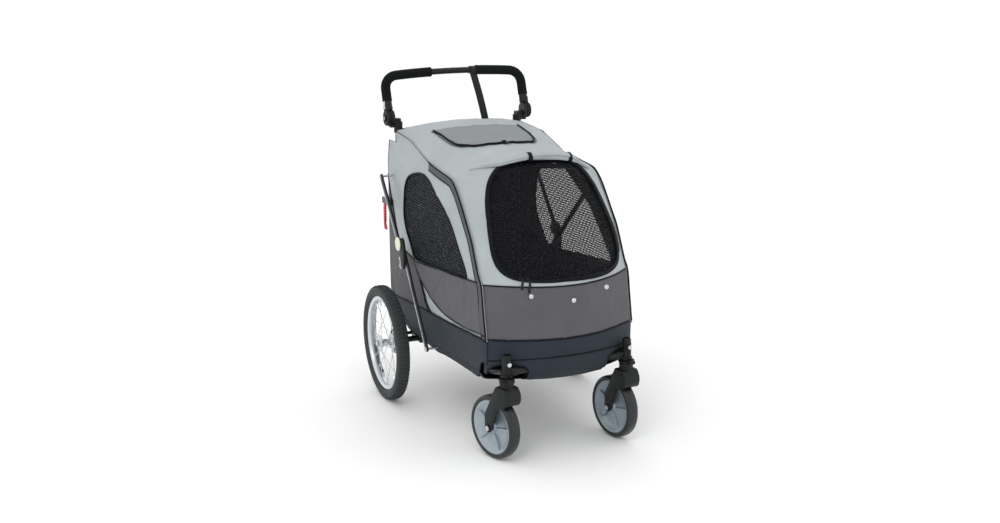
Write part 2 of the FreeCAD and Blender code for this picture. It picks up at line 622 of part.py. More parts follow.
def handle_edges(first_reach, gap):
    """Right half of the bar: leg, corner and gently bowed top as far as gap from the middle."""
    bend = float(at.handle_bend)
    bow = math.radians(float(at.bow_angle))
    leg_x = -float(at.handle_x)
    corner = float(at.handle_reach) - bend
    centre_x = leg_x + bend
    end = (centre_x - bend * math.sin(bow), corner + bend * math.cos(bow))
    half = math.radians(90) - bow
    middle = (centre_x - bend * math.cos(half / 2), corner + bend * math.sin(half / 2))
    radius = -end[0] / math.sin(bow)
    bow_z = end[1] - radius * math.cos(bow)

    def on_bow(x):
        return on_handle(x, bow_z + math.sqrt(radius * radius - x * x))

    return [
        Part.LineSegment(on_handle(leg_x, first_reach), on_handle(leg_x, corner)).toShape(),
        Part.Arc(on_handle(leg_x, corner), on_handle(*middle), on_handle(*end)).toShape(),
        Part.Arc(on_bow(end[0]), on_bow((end[0] - gap) / 2), on_bow(-gap)).toShape()], on_bow


right_edges, bow_point = handle_edges(30.0, 1.0)
left_edges = [edge.mirror(Vector(), Vector(1, 0, 0)) for edge in reversed(right_edges)]
middle_edge = Part.Arc(bow_point(-1.0), bow_point(0.0), bow_point(1.0)).toShape()
bar_wire = Part.Wire(Part.__sortEdges__(right_edges + [middle_edge] + left_edges))
node("handle_tube", made("handle_tube", tube(bar_wire, at.tube_radius, at.tube_wall)))

grip_wire = Part.Wire(Part.__sortEdges__(handle_edges(float(at.grip_start) + 20.0, float(at.grip_gap))[0]))
grip = made("grip", swept(grip_wire, float(at.grip_radius)).cut(swept(grip_wire, float(at.tube_radius))))
both_sides("grips", grip)

# Hinge caps: upper halves, each a disc on the hinge axis and a sleeve round the foot of the bar.
cap_x = disc_x + disc_depth + 0.5
cap_depth = 15.5
cap_disc = rod("cap_disc", at.hinge_radius, cap_depth, cap_x, at.hinge_y, at.hinge_height)
sleeve_start = Vector(float(at.handle_x), 0, 0) + hinge + rise * 30.0
sleeve = made("cap_sleeve", Part.makeCylinder(float(at.tube_radius) + 4, 30.0, sleeve_start, rise))
neck = made("cap_neck", Part.makeBox(13.0, 24.0, 40.0, Vector(-6.5, -12.0, 0.0)))
neck.Placement = Placement(Vector(float(cap_x) + 7.25, 0, 0) + hinge + rise * 12.0,
                           Rotation(Vector(0, 0, 1), rise))
tube_room = made("cap_tube_room", Part.makeCylinder(float(at.tube_radius), 60.0, sleeve_start, rise))
button_room = rod("cap_button_room", at.knob_radius + at.running * 4, 20.0, cap_x + 5.0, at.hinge_y,
                  at.hinge_height)
cap_pin = rod("cap_pin", at.pin_radius, cap_x + 4.0 - disc_x, disc_x, at.hinge_y, at.hinge_height)
cap = fuse("cap_blank", [cap_disc, sleeve, neck])
cap = cut_all("cap_hollow", cap, [tube_room, button_room])
both_sides("hinge_caps", fuse("cap_pinned", [cap, cap_pin]))

# Push knobs in the middle of each hinge release the handle's angle.
for side_name, side_sign in SIDES:
    knob_x = cap_x + 10.5
    if side_sign > 0:
        knob = rod(side_name + "_hinge_button", at.knob_radius, 9.5, knob_x, at.hinge_y, at.hinge_height)
    else:
        knob = rod(side_name + "_hinge_button", at.knob_radius, 9.5, -knob_x - 9.5, at.hinge_y, at.hinge_height)
    node(side_name + "_hinge_button", knob)

# Webbing strap: looped on the bar left of the middle, down behind the roof to the rear arch.
strap_top = bow_point(71.0) + rise * (float(at.tube_radius) + 2.0)
strap_low = Vector(118.0, arch_y + 34.0, arch_end_z + 12.0)
strap_way = strap_low - strap_top
strap_plate = Part.makeBox(26.0, 2.0, strap_way.Length - 34.0, Vector(-13.0, -1.0, 0.0))
strap_plate.Placement = Placement(strap_top + strap_way.normalize() * 34.0, Rotation(
    Vector(1, 0, 0), Vector(0, 1, 0), strap_way.normalize(), "ZXY"))
node("handle_strap", made("handle_strap", strap_plate))

# ---------------------------------------------------------------- hood hoop
# One bent tube inside the cabin: diagonal legs from the hoop pins to the front corners and over the top.
hoop_top_y = float(at.hoop_front_y) - 8.0
hoop = tube(path_wire([
    (-at.hoop_x, at.hoop_y, at.hoop_height), (-at.hoop_x, at.hoop_front_y, at.hoop_front_height),
    (-at.hoop_x + 40.0, hoop_top_y, at.hoop_front_height + 82.0), (0.0, hoop_top_y - 10.0,
                                                                   at.hoop_front_height + 98.0),
    (at.hoop_x - 40.0, hoop_top_y, at.hoop_front_height + 82.0),
    (at.hoop_x, at.hoop_front_y, at.hoop_front_height), (at.hoop_x, at.hoop_y, at.hoop_height)], 28.0),
    at.hoop_radius, 1.5)
hoop_eyes = []
for sign in (-1, 1):
    eye = Vector(sign * float(at.hoop_x), float(at.hoop_y), float(at.hoop_height))
    step = Vector(6.0, 0, 0)
    hoop = hoop.fuse(Part.makeCylinder(9.0, 12.0, eye - step, Vector(1, 0, 0)))
    hoop_eyes.append(Part.makeCylinder(float(at.pin_radius + at.running), 40.0, eye - step * 3, Vector(1, 0, 0)))
for eye_hole in hoop_eyes:
    hoop = hoop.cut(eye_hole)
node("hood_hoop", made("hood_hoop", hoop))

# ---------------------------------------------------------------- side braces
# Each brace is two flat-oval links that meet at a locking knee disc outside the fabric.

def link(name, start, end, inner, knee_at_end):
    """Flat bar with round ends and a bored eye at each end, in the plane x = inner."""
    width = float(at.brace_width)
    depth = float(at.brace_depth)
    first = Vector(float(inner), float(start[0]), float(start[1]))
    last = Vector(float(inner), float(end[0]), float(end[1]))
    way = (last - first).normalize()
    side = way.cross(Vector(1, 0, 0)) * (width / 2)
    length = Vector(depth, 0, 0)
    bar = Part.Face(Part.makePolygon([first + side, last + side, last - side, first - side, first + side]))
    bar = bar.extrude(length)
    for centre, radius in ((first, width / 2), (last, float(at.knee_radius) if knee_at_end else width / 2)):
        bar = bar.fuse(Part.makeCylinder(radius, depth, centre, Vector(1, 0, 0)))
    bar = bar.removeSplitter()
    for centre in (first, last):
        bar = bar.cut(Part.makeCylinder(float(at.pin_radius + at.running), 60, centre - Vector(30, 0, 0),
                                        Vector(1, 0, 0)))
    return made(name, bar)


low = (at.brace_y, at.brace_height)
knee = (at.knee_y, at.knee_height)
high = (at.brace_top_y, at.brace_top_height)
lower = link("left_brace_lower", low, knee, at.brace_inner, True)
upper = link("left_brace_upper", high, knee, upper_x, True)
node("left_brace_lower", lower)
node("left_brace_upper", upper)
node("right_brace_lower", mirrored("right_brace_lower", lower))
node("right_brace_upper", mirrored("right_brace_upper", upper))

# ---------------------------------------------------------------- parking brake
# One cross shaft behind the axle: a foot pedal in the middle and a shoe at each wheel's drum.
shaft_y = at.axle_y + BRAKE_DY
shaft_z = at.rear_radius + BRAKE_DZ
drum_face = at.rear_half_track - at.hub_half - 8.0
shaft_end = drum_face - 3.0
brake_pieces = [rod("brake_shaft", 6.0, shaft_end * 2, -shaft_end, shaft_y, shaft_z)]
shoe_angle = math.radians(-40.0)
shoe_radius = 4.0
shoe_reach = at.drum_radius + shoe_radius + 6.0
shoe_y = at.axle_y + shoe_reach * math.cos(shoe_angle)
shoe_z = at.rear_radius + shoe_reach * math.sin(shoe_angle)
for side_name, side_sign in SIDES:
    inner = shaft_end - 6.0
    start = inner if side_sign > 0 else -shaft_end
    arm_plate = padded_plate(side_name + "_shoe_arm", [
        (shaft_y - 5.0, shaft_z), (shaft_y + 5.0, shaft_z), (shoe_y + 3.0, shoe_z - 3.0),
        (shoe_y - 3.0, shoe_z - 3.0)], 6.0)
    put(arm_plate, start)
    shoe_start = inner if side_sign > 0 else -drum_face - 6.0
    brake_pieces.append(arm_plate)
    brake_pieces.append(rod(side_name + "_shoe", shoe_radius, 15.0, shoe_start, shoe_y, shoe_z))
pedal = padded_plate("brake_pedal", [
    (shaft_y, shaft_z - 5.0), (shaft_y + 60.0, shaft_z - 16.0), (shaft_y + 62.0, shaft_z - 8.0),
    (shaft_y, shaft_z + 5.0)], 84.0, centred=True)
brake_pieces.append(pedal)
node("brake_bar", fuse("brake_bar", brake_pieces))

# ---------------------------------------------------------------- cabin fabric
# The soft body as closed shells: one outer form, lofted through five side outlines that bow forwards and
# upwards to the middle, hollowed by the cloth's thickness and parted along the sewn seams.
SECTIONS = (-1.0, -0.5, 0.0, 0.5, 1.0)


def outline(share):
    """Side outline at a share of the half width: each corner is mixed between the middle and the edge."""
    bulge = share * share
    front = float(at.front_y)
    corner = float(at.corner_y)
    rear = float(at.rear_y)
    roof = float(at.roof_height)
    top = float(at.panel_top)
    corners = (  # edge (y, z) and middle (y, z)
        (corner, 248.0, front, 246.0), (-126.0, 233.0, -126.0, 233.0), (10.0, 217.0, 10.0, 217.0),
        (300.0, 217.0, 300.0, 217.0), (451.0, 284.0, 451.0, 284.0), (rear, 380.0, rear + 8.0, 380.0),
        (rear - 6.0, 800.0, rear + 4.0, 800.0), (rear - 26.0, 880.0, rear - 18.0, 884.0),
        (rear - 62.0, roof - 20.0, rear - 54.0, roof), (240.0, roof - 34.0, 240.0, roof - 8.0),
        (69.0, roof - 86.0, 69.0, roof - 28.0), (-150.0, roof - 108.0, -238.0, roof - 47.0),
        (-225.0, 755.0, -331.0, 755.0), (-295.0, 671.0, -392.0, 671.0),
        (-350.0, top + 21.0, front + 24.0, top + 21.0), (corner + 33.0, top - 6.0, front, top - 6.0),
        (corner, 375.0, front, 375.0))
    return [(middle_y + (edge_y - middle_y) * bulge, middle_z + (edge_z - middle_z) * bulge)
            for edge_y, edge_z, middle_y, middle_z in corners]


def inset(points, amount):
    """The same outline moved inwards all round."""
    wire = Part.makePolygon([Vector(y, z, 0) for y, z in points + points[:1]])
    inner = wire.makeOffset2D(-amount, join=2)
    corners = [vertex.Point for vertex in inner.OrderedVertexes]
    first = min(range(len(corners)), key=lambda number: (corners[number] - Vector(*points[0], 0)).Length)
    ordered = corners[first:] + corners[:first]
    if (ordered[1] - Vector(*points[1], 0)).Length > (ordered[-1] - Vector(*points[1], 0)).Length:
        ordered = ordered[:1] + ordered[:0:-1]
    return [(corner.x, corner.y) for corner in ordered]


def cabin_form(amount):
    """Lofted solid of the cabin, moved inwards by an amount."""
    width = float(at.half_width) - amount
    wires = []
    for share in SECTIONS:
        points = outline(share * width / float(at.half_width))
        if amount:
            points = inset(points, amount)
        corners = [Vector(share * width, y, z) for y, z in points]
        wires.append(Part.makePolygon(corners + corners[:1]))
    return Part.makeLoft(wires, True, False)


outer_form = cabin_form(0.0)
inner_form = cabin_form(float(at.cloth))
shell = outer_form.cut(inner_form)
FAR = 700.0


def region(x0, y0, z0, x1, y1, z1):
    low_corner = Vector(float(x0), float(y0), float(z0))
    return Part.makeBox(float(x1) - float(x0), float(y1) - float(y0), float(z1) - float(z0), low_corner)


wide = float(at.half_width) - float(at.cloth)
tub_top = float(at.tub_top)
seam = 0.3
# Tub: the stiffened lower part, with arched cut-outs round the caster sockets and holes for the axle
# brackets and brace bolts.
tub = shell.common(region(-FAR, -FAR, 0, FAR, FAR, tub_top))
for sign in (-1, 1):
    socket_x = sign * float(at.caster_x)
    tub = tub.cut(region(socket_x - 72 if sign > 0 else socket_x - 34, float(at.caster_y) - 60, 200,
                         socket_x + 34 if sign > 0 else socket_x + 72, float(at.caster_y) + 90,
                         float(at.front_rail_height) + float(at.tube_radius) + 6))
    rail_x = sign * float(at.rail_x)
    tub = tub.cut(region(rail_x - 10, float(at.axle_y) - 20, 190, rail_x + 10,
                         float(at.axle_y) + BRAKE_DY + 15, 250))
    tub = tub.cut(Part.makeCylinder(float(at.pin_radius) + 2, 30, Vector(
        sign * float(at.half_width) - 15, float(at.brace_y), float(at.brace_height)), Vector(1, 0, 0)))
node("tub", made("tub", tub))

side_shell = shell.common(region(-FAR, -FAR, tub_top + seam, FAR, FAR, FAR * 2))
for sign, side_name in ((-1, "right"), (1, "left")):
    first = wide + seam if sign > 0 else -FAR
    panel = side_shell.common(region(first, -FAR, 0, first + FAR - wide - seam, FAR, FAR * 2))
    bolt_place = Vector(sign * float(at.half_width) - 15, top_centre_y, top_z)
    panel = panel.cut(Part.makeCylinder(float(at.pin_radius) + 2, 30, bolt_place, Vector(1, 0, 0)))
    panel = panel.cut(Part.makeCylinder(10.0, 30, Vector(bolt_place.x, 434.0, lever_top - 1.0),
                                        Vector(1, 0, 0)))
    panel = panel.cut(region(sign * wide - 30, float(at.hinge_y) - 30, float(at.hinge_height) - 80,
                             sign * wide + 30, FAR, FAR * 2))
    node(side_name + "_side_panel", made(side_name + "_side_panel", panel))

middle_shell = side_shell.common(region(-wide, -FAR, 0, wide, FAR, FAR * 2))
seam_z = float(at.panel_top)
front_panel = middle_shell.common(region(-FAR, -FAR, 0, FAR, 0, seam_z))
node("front_panel", made("front_panel", front_panel))
rear_panel = middle_shell.common(region(-FAR, 300, 0, FAR, FAR, 880))
node("rear_panel", made("rear_panel", rear_panel))

canopy = middle_shell.common(region(-FAR, -FAR, seam_z + seam, FAR, 300, FAR * 2)).fuse(
    middle_shell.common(region(-FAR, 300, 880 + seam, FAR, FAR, FAR * 2))).removeSplitter()
for sign in (-1, 1):
    near = float(at.rail_x) - float(at.tube_radius) - 8
    canopy = canopy.cut(region(near if sign > 0 else -FAR, float(at.hinge_y) - 30, 870,
                               FAR if sign > 0 else -near, FAR, FAR * 2))


def door_outline(grow):
    """Rounded outline of the front window in the X-Z plane."""
    half = float(at.door_half) + grow
    low_z = seam_z + 20.0 - grow
    top_z = float(at.roof_height) - 62.0 + grow
    shoulder_z = float(at.roof_height) - 116.0
    points = [(-half + 44, low_z), (half - 44, low_z), (half + 14, low_z + 44), (half + 14, low_z + 90),
              (half - 14, shoulder_z), (half - 74, top_z), (-half + 74, top_z), (-half + 14, shoulder_z),
              (-half - 14, low_z + 90), (-half - 14, low_z + 44)]
    corners = [Vector(x, -FAR, z) for x, z in points]
    return Part.Face(Part.makePolygon(corners + corners[:1])).extrude(Vector(0, FAR, 0))


front_door = canopy.common(door_outline(-0.5))
canopy = canopy.cut(door_outline(0.5))
HATCH = (-150.0, 10.0, 150.0, 262.0)
hatch = canopy.common(region(HATCH[0] + 0.5, HATCH[1] + 0.5, 800, HATCH[2] - 0.5, HATCH[3] - 0.5, FAR * 2))
canopy = canopy.cut(region(HATCH[0], HATCH[1], 800, HATCH[2], HATCH[3], FAR * 2))
node("front_door", made("front_door", front_door))
node("roof_hatch", made("roof_hatch", hatch))
node("canopy", made("canopy", canopy))

# Tether ring on the rear wall inside the cabin.
tether = doc.addObject("Part::Torus", "tether_ring")
bind(tether, "Radius1", 14.0)
bind(tether, "Radius2", 2.0)
put(tether, 0.0, at.rear_y - 4.0, at.tub_top + 40.0, along((0, 1, 0)))
node("tether_ring", tether)

# ---------------------------------------------------------------- check and write
doc.recompute()
for item in doc.Objects:
    if "Invalid" in item.State or "Error" in item.State:
        raise RuntimeError("%s did not build: %s" % (item.Name, item.State))
os.makedirs("parts", exist_ok=True)
faulty = [name for name, item in NODES.items()
          if item.Shape.isNull() or not item.Shape.isValid() or not item.Shape.Solids]
if faulty:
    raise RuntimeError("no valid solid in " + ", ".join(faulty))
for name, item in NODES.items():
    item.Shape.exportStep("parts/%s.step" % name)
print("%d pieces" % len(NODES))
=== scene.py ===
import math

import bmesh
import bpy
import numpy as np
from mathutils import Matrix, Quaternion, Vector, noise


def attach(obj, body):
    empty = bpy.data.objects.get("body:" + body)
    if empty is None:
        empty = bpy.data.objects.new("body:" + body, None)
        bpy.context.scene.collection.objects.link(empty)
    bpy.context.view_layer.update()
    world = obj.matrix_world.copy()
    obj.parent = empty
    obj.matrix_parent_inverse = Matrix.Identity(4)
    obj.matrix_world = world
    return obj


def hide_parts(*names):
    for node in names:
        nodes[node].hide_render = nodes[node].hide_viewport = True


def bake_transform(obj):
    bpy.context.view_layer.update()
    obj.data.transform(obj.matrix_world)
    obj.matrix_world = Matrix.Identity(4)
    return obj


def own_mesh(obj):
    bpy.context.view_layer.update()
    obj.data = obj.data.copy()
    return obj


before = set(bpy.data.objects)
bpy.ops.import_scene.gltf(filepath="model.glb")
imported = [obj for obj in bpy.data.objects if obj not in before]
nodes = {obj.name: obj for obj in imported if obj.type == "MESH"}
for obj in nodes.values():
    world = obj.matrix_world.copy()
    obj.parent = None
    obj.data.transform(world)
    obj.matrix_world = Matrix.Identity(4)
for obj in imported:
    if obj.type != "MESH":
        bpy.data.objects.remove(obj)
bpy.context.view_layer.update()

# ---------------------------------------------------------------- studio
# A pale floor under a white sky, one large soft lamp from the front right of the stroller, a weaker one
# from its left and a strip behind, with the camera standing off the right front corner.
azimuth, elevation, roll, distance = -23.74, 14.32, -0.21, 4.18
target = Vector((-0.0258, 0.0, 0.50935))
around, above = math.radians(azimuth), math.radians(elevation)
back = Vector((math.sin(around) * math.cos(above), -math.cos(around) * math.cos(above), math.sin(above)))
eye = bpy.data.objects.new("studio_camera", bpy.data.cameras.new("studio_camera"))
bpy.context.scene.collection.objects.link(eye)
eye.data.sensor_width, eye.data.lens = 36.0, 44.93
eye.data.clip_end = 200.0
eye.rotation_mode = "QUATERNION"
eye.location = target + back * distance
eye.rotation_quaternion = (-back).to_track_quat("-Z", "Y") @ Quaternion((0, 0, 1), math.radians(roll))
bpy.context.scene.camera = eye


def colour(code):
    """The linear colour that shaders read, from an sRGB hex code."""
    parts = [int(code[i:i + 2], 16) / 255 for i in (1, 3, 5)]
    return tuple(p / 12.92 if p <= 0.04045 else ((p + 0.055) / 1.055) ** 2.4 for p in parts) + (1.0,)


def add(finish, kind, settings=None, links=None):
    """Adds one node to a finish, with its settings and with links from other nodes' outputs."""
    made = finish.node_tree.nodes.new(kind)
    for key, value in (settings or {}).items():
        if isinstance(key, int) or key in made.inputs:
            made.inputs[key].default_value = value
        else:
            setattr(made, key, value)
    for key, source in (links or {}).items():
        finish.node_tree.links.new(source, made.inputs[key])
    return made


def finish_of(name, code, roughness, metallic=0.0, **sockets):
    """A new finish on one Principled shader, with its plain values set on the shader's own sockets."""
    made = bpy.data.materials.new(name)
    made.use_nodes = True
    shader = made.node_tree.nodes["Principled BSDF"]
    shader.inputs["Base Color"].default_value = colour(code)
    shader.inputs["Roughness"].default_value = roughness
    shader.inputs["Metallic"].default_value = metallic
    for key, value in sockets.items():
        shader.inputs[key.replace("_", " ")].default_value = value
    return made, shader


def feed(finish, source, socket):
    finish.node_tree.links.new(source, socket)


floor_mesh = bmesh.new()
bmesh.ops.create_grid(floor_mesh, x_segments=8, y_segments=8, size=60.0)
floor_data = bpy.data.meshes.new("studio_floor")
floor_mesh.to_mesh(floor_data)
floor_mesh.free()
floor = bpy.data.objects.new("studio_floor", floor_data)
bpy.context.scene.collection.objects.link(floor)
floor_finish, _ = finish_of("painted_studio_floor", "#FFFFFF", 0.95)
floor_data.materials.append(floor_finish)

sky = bpy.data.worlds.new("studio_sky")
bpy.context.scene.world = sky
sky.use_nodes = True
sky.node_tree.nodes["Background"].inputs[0].default_value = (1.0, 1.0, 1.0, 1.0)
sky.node_tree.nodes["Background"].inputs[1].default_value = 1.03
bpy.context.scene.view_settings.view_transform = "Standard"
for lamp_name, place, wide, power in (
        ("key_lamp", (-2.4, -2.6, 3.4), 1.6, 26.0), ("fill_lamp", (3.2, -2.4, 1.8), 2.6, 3.0),
        ("rear_lamp", (0.6, 3.2, 3.2), 2.0, 14.0)):
    lamp = bpy.data.objects.new(lamp_name, bpy.data.lights.new(lamp_name, "AREA"))
    lamp.data.size, lamp.data.energy = wide, power
    lamp.location = place
    lamp.rotation_euler = (Vector((0, 0, 0.5)) - Vector(place)).to_track_quat("-Z", "Y").to_euler()
    bpy.context.scene.collection.objects.link(lamp)

# ---------------------------------------------------------------- rear wheels
# Pneumatic tyres with a block tread on broad aluminium rims, laced with thin stainless spokes to a
# flanged aluminium hub that carries a black brake drum on its inner side.
SIDES = (("right", -1.0), ("left", 1.0))


def speckle(finish, shader, size, height, colours=None, rough=None):
    """Grain on a moulded or coated surface: a bump of the grain's size, with faint shifts of colour and
    gloss at a larger size, as on any part that has been handled."""
    place = add(finish, "ShaderNodeTexCoord")
    grain = add(finish, "ShaderNodeTexNoise", {"Scale": 1 / size, "Detail": 3.0}, {"Vector": place.outputs["Object"]})
    cloud = add(finish, "ShaderNodeTexNoise", {"Scale": 14.0, "Detail": 4.0}, {"Vector": place.outputs["Object"]})
    bump = add(finish, "ShaderNodeBump", {"Strength": 0.6, "Distance": height}, {"Height": grain.outputs["Fac"]})
    feed(finish, bump.outputs["Normal"], shader.inputs["Normal"])
    if colours:
        ramp = add(finish, "ShaderNodeMix", {"data_type": "RGBA", 6: colour(colours[0]), 7: colour(colours[1])},
                   {0: cloud.outputs["Fac"]})
        feed(finish, ramp.outputs[2], shader.inputs["Base Color"])
    if rough:
        span = add(finish, "ShaderNodeMapRange", {"To Min": rough[0], "To Max": rough[1]},
                   {"Value": cloud.outputs["Fac"]})
        feed(finish, span.outputs["Result"], shader.inputs["Roughness"])


# Tyre rubber: vulcanised and matt, a warm black with faint grey clouds.
tyre_rubber, rubber_shader = finish_of("vulcanised_tyre_rubber", "#25282A", 0.7)
speckle(tyre_rubber, rubber_shader, 0.0022, 0.0003, ("#1B1E20", "#34393B"), (0.6, 0.8))
# Rolled aluminium, clear anodised: satin silver with a soft sheen round the rim.
rim_alloy, alloy_shader = finish_of("anodised_aluminium_rim", "#CDD3D6", 0.32, 0.85)
speckle(rim_alloy, alloy_shader, 0.0012, 0.00005, ("#C0C8CC", "#DEE3E5"), (0.24, 0.4))
# Drawn stainless wire, bright.
spoke_steel, spoke_shader = finish_of("drawn_stainless_wire", "#D5D9DB", 0.2, 1.0)
speckle(spoke_steel, spoke_shader, 0.002, 0.00003, None, (0.15, 0.3))
# Glass-filled nylon, moulded with a fine spark texture.
black_nylon, nylon_shader = finish_of("moulded_black_nylon", "#0D0F11", 0.48, Specular_IOR_Level=0.3)
speckle(black_nylon, nylon_shader, 0.0016, 0.00012, ("#090B0C", "#131618"), (0.4, 0.58))
# Powder-coated steel and aluminium tube: deep black, half gloss, with a faint orange peel.
black_powder, powder_shader = finish_of("black_powder_coat", "#08090A", 0.3, Specular_IOR_Level=0.35)
speckle(black_powder, powder_shader, 0.0035, 0.00008, ("#060708", "#0E1012"), (0.24, 0.36))
# Zinc-plated fasteners and pins; the same bright finish makes the strips on the braces and handle legs, which are
# painted highlights.
plated_steel_and_painted_highlight, steel_shader = finish_of("zinc_plated_steel_and_painted_highlight", "#C6CACC", 0.26, 1.0)
speckle(plated_steel_and_painted_highlight, steel_shader, 0.0015, 0.00005, ("#B4B9BC", "#D8DCDE"), (0.18, 0.36))


def settle(name, mesh, finishes, body, stands_for=(), sharp=38.0, mirror=False):
    """Turns a worked mesh into a named piece that rides on a body and may stand for CAD nodes."""
    bmesh.ops.remove_doubles(mesh, verts=mesh.verts, dist=1e-6)
    if mirror:
        bmesh.ops.scale(mesh, vec=(-1, 1, 1), verts=mesh.verts)
    bmesh.ops.recalc_face_normals(mesh, faces=mesh.faces)
    data = bpy.data.meshes.new(name)
    mesh.to_mesh(data)
    mesh.free()
    for finish in finishes if isinstance(finishes, (list, tuple)) else [finishes]:
        data.materials.append(finish)
    data.shade_smooth()
    data.set_sharp_from_angle(angle=math.radians(sharp))
    made = bpy.data.objects.new(name, data)
    bpy.context.scene.collection.objects.link(made)
    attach(made, body)
    if stands_for:
        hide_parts(*stands_for)
    return made


def turn(mesh, outline, place=Matrix.Identity(4), steps=64, closed=True):
    """Spins an outline of (across, out) points once round the X axis and then puts it in place."""
    before = set(mesh.verts)
    points = [mesh.verts.new((across, 0.0, out)) for across, out in outline]
    pairs = list(zip(points, points[1:])) + ([(points[-1], points[0])] if closed else [])
    edges = [mesh.edges.new(pair) for pair in pairs]
    bmesh.ops.spin(mesh, geom=points + edges, cent=(0, 0, 0), axis=(1, 0, 0), dvec=(0, 0, 0),
                   angle=2 * math.pi, steps=steps, use_merge=True, use_duplicate=False)
    bmesh.ops.transform(mesh, matrix=place, verts=[v for v in mesh.verts if v not in before])


def both_ways(half):
    """Closes an outline given from one edge to the middle with its mirror image."""
    return half + [(-across, out) for across, out in reversed(half) if across != 0.0]


WHEEL = Vector((0.356, 0.237, 0.200))
tyre_half = [(-0.0125, 0.1612), (-0.0165, 0.1640), (-0.0205, 0.1690), (-0.0227, 0.1755), (-0.0230, 0.1815),
             (-0.0219, 0.1870), (-0.0192, 0.1920), (-0.0150, 0.1955), (-0.0080, 0.1975), (0.0, 0.1980)]
rim_half = [(-0.0128, 0.1640), (-0.0136, 0.1640), (-0.0138, 0.1618), (-0.0130, 0.1606), (-0.0130, 0.1520),
            (-0.0118, 0.1500), (-0.0070, 0.1482), (0.0, 0.1472)]
hub_half = [(-0.0268, 0.0075), (-0.0268, 0.0125), (-0.0258, 0.0138), (-0.0240, 0.0138), (-0.0238, 0.0285),
            (-0.0230, 0.0298), (-0.0214, 0.0298), (-0.0206, 0.0285), (-0.0200, 0.0150), (-0.0160, 0.0128),
            (0.0, 0.0122)]
for side, sign in SIDES:
    centre = Matrix.Translation((WHEEL.x * sign, WHEEL.y, WHEEL.z))
    tyre = bmesh.new()
    turn(tyre, both_ways(tyre_half), centre, steps=128)
    for row, (across, lean, long, wide) in enumerate((
            (0.0, 0.0, 0.0105, 0.0075), (-0.0098, 0.35, 0.0085, 0.0070), (0.0098, -0.35, 0.0085, 0.0070),
            (-0.0168, 0.0, 0.0070, 0.0040), (0.0168, 0.0, 0.0070, 0.0040))):
        blocks = []
        for number in range(80):
            angle = 2 * math.pi * (number + 0.5 * (row % 2)) / 80
            out = {0: 0.1980, 1: 0.1972, 2: 0.1972}.get(row, 0.1945)
            tilt = 0.0 if row < 3 else math.copysign(0.75, across)
            place = (centre @ Matrix.Rotation(angle, 4, "X") @ Matrix.Translation((across, 0, out))
                     @ Matrix.Rotation(tilt, 4, "Y") @ Matrix.Rotation(lean, 4, "Z")
                     @ Matrix.Diagonal((wide, long, 0.0042, 1)))
            blocks += bmesh.ops.create_cube(tyre, size=1.0, matrix=place)["verts"]
        edges = list({e for v in blocks for e in v.link_edges})
        bmesh.ops.bevel(tyre, geom=edges, offset=0.0007, affect="EDGES", segments=1, profile=0.5, material=-1)
    settle(side + "_rear_tyre_tread", tyre, tyre_rubber, side + "_rear_wheel",
           [side + "_rear_tyre"])
    rim = bmesh.new()
    turn(rim, both_ways(rim_half), centre, steps=128)
    settle(side + "_rear_rim_rolled", rim, rim_alloy, side + "_rear_wheel", [side + "_rear_rim"])
    hub = bmesh.new()
    turn(hub, both_ways(hub_half), centre, steps=48)
    for flange in (-1, 1):  # spoke heads round each flange
        for number in range(10):
            angle = 2 * math.pi * (number + 0.25 * flange) / 10
            bmesh.ops.create_uvsphere(hub, u_segments=8, v_segments=5, radius=0.0022, matrix=centre @ Matrix.Rotation(
                angle, 4, "X") @ Matrix.Translation((0.0240 * flange, 0, 0.0258)))
    settle(side + "_rear_hub_flanged", hub, rim_alloy, side + "_rear_wheel",
           [side + "_rear_hub"])
    drum = bmesh.new()
    turn(drum, [(-0.0350, 0.0080), (-0.0350, 0.0400), (-0.0342, 0.0415), (-0.0300, 0.0418), (-0.0290, 0.0405),
                (-0.0290, 0.0150), (-0.0270, 0.0130), (-0.0270, 0.0080)],
         centre @ Matrix.Scale(sign, 4, (1, 0, 0)), steps=64)
    settle(side + "_brake_drum", drum, black_nylon, side + "_rear_wheel")
    valve = bmesh.new()  # short valve that points from the rim's bed to the hub, with a screw cap
    lean = Matrix.Rotation(math.radians(200), 4, "X")
    stand = centre @ lean @ Matrix.Translation((0, 0, 0.147)) @ Matrix.Rotation(math.radians(90), 4, "Y")
    turn(valve, [(0.0, 0.0), (0.0, 0.0042), (0.012, 0.0030), (0.014, 0.0030), (0.014, 0.0040), (0.024, 0.0038),
                 (0.0255, 0.0028), (0.0255, 0.0)], stand, steps=14, closed=False)
    settle(side + "_tyre_valve", valve, black_nylon, side + "_rear_wheel")
    nipples = bmesh.new()
    for number in range(20):
        angle = 2 * math.pi * number / 20
        stand = centre @ Matrix.Rotation(angle, 4, "X") @ Matrix.Translation((0, 0, 0.1365))
        bmesh.ops.create_cone(nipples, cap_ends=True, segments=8, radius1=0.0016, radius2=0.0024, depth=0.020,
                              matrix=stand)
    settle(side + "_spoke_nipples", nipples, spoke_steel, side + "_rear_wheel")
    nodes[side + "_rear_spokes"].data.materials.clear()
    nodes[side + "_rear_spokes"].data.materials.append(spoke_steel)

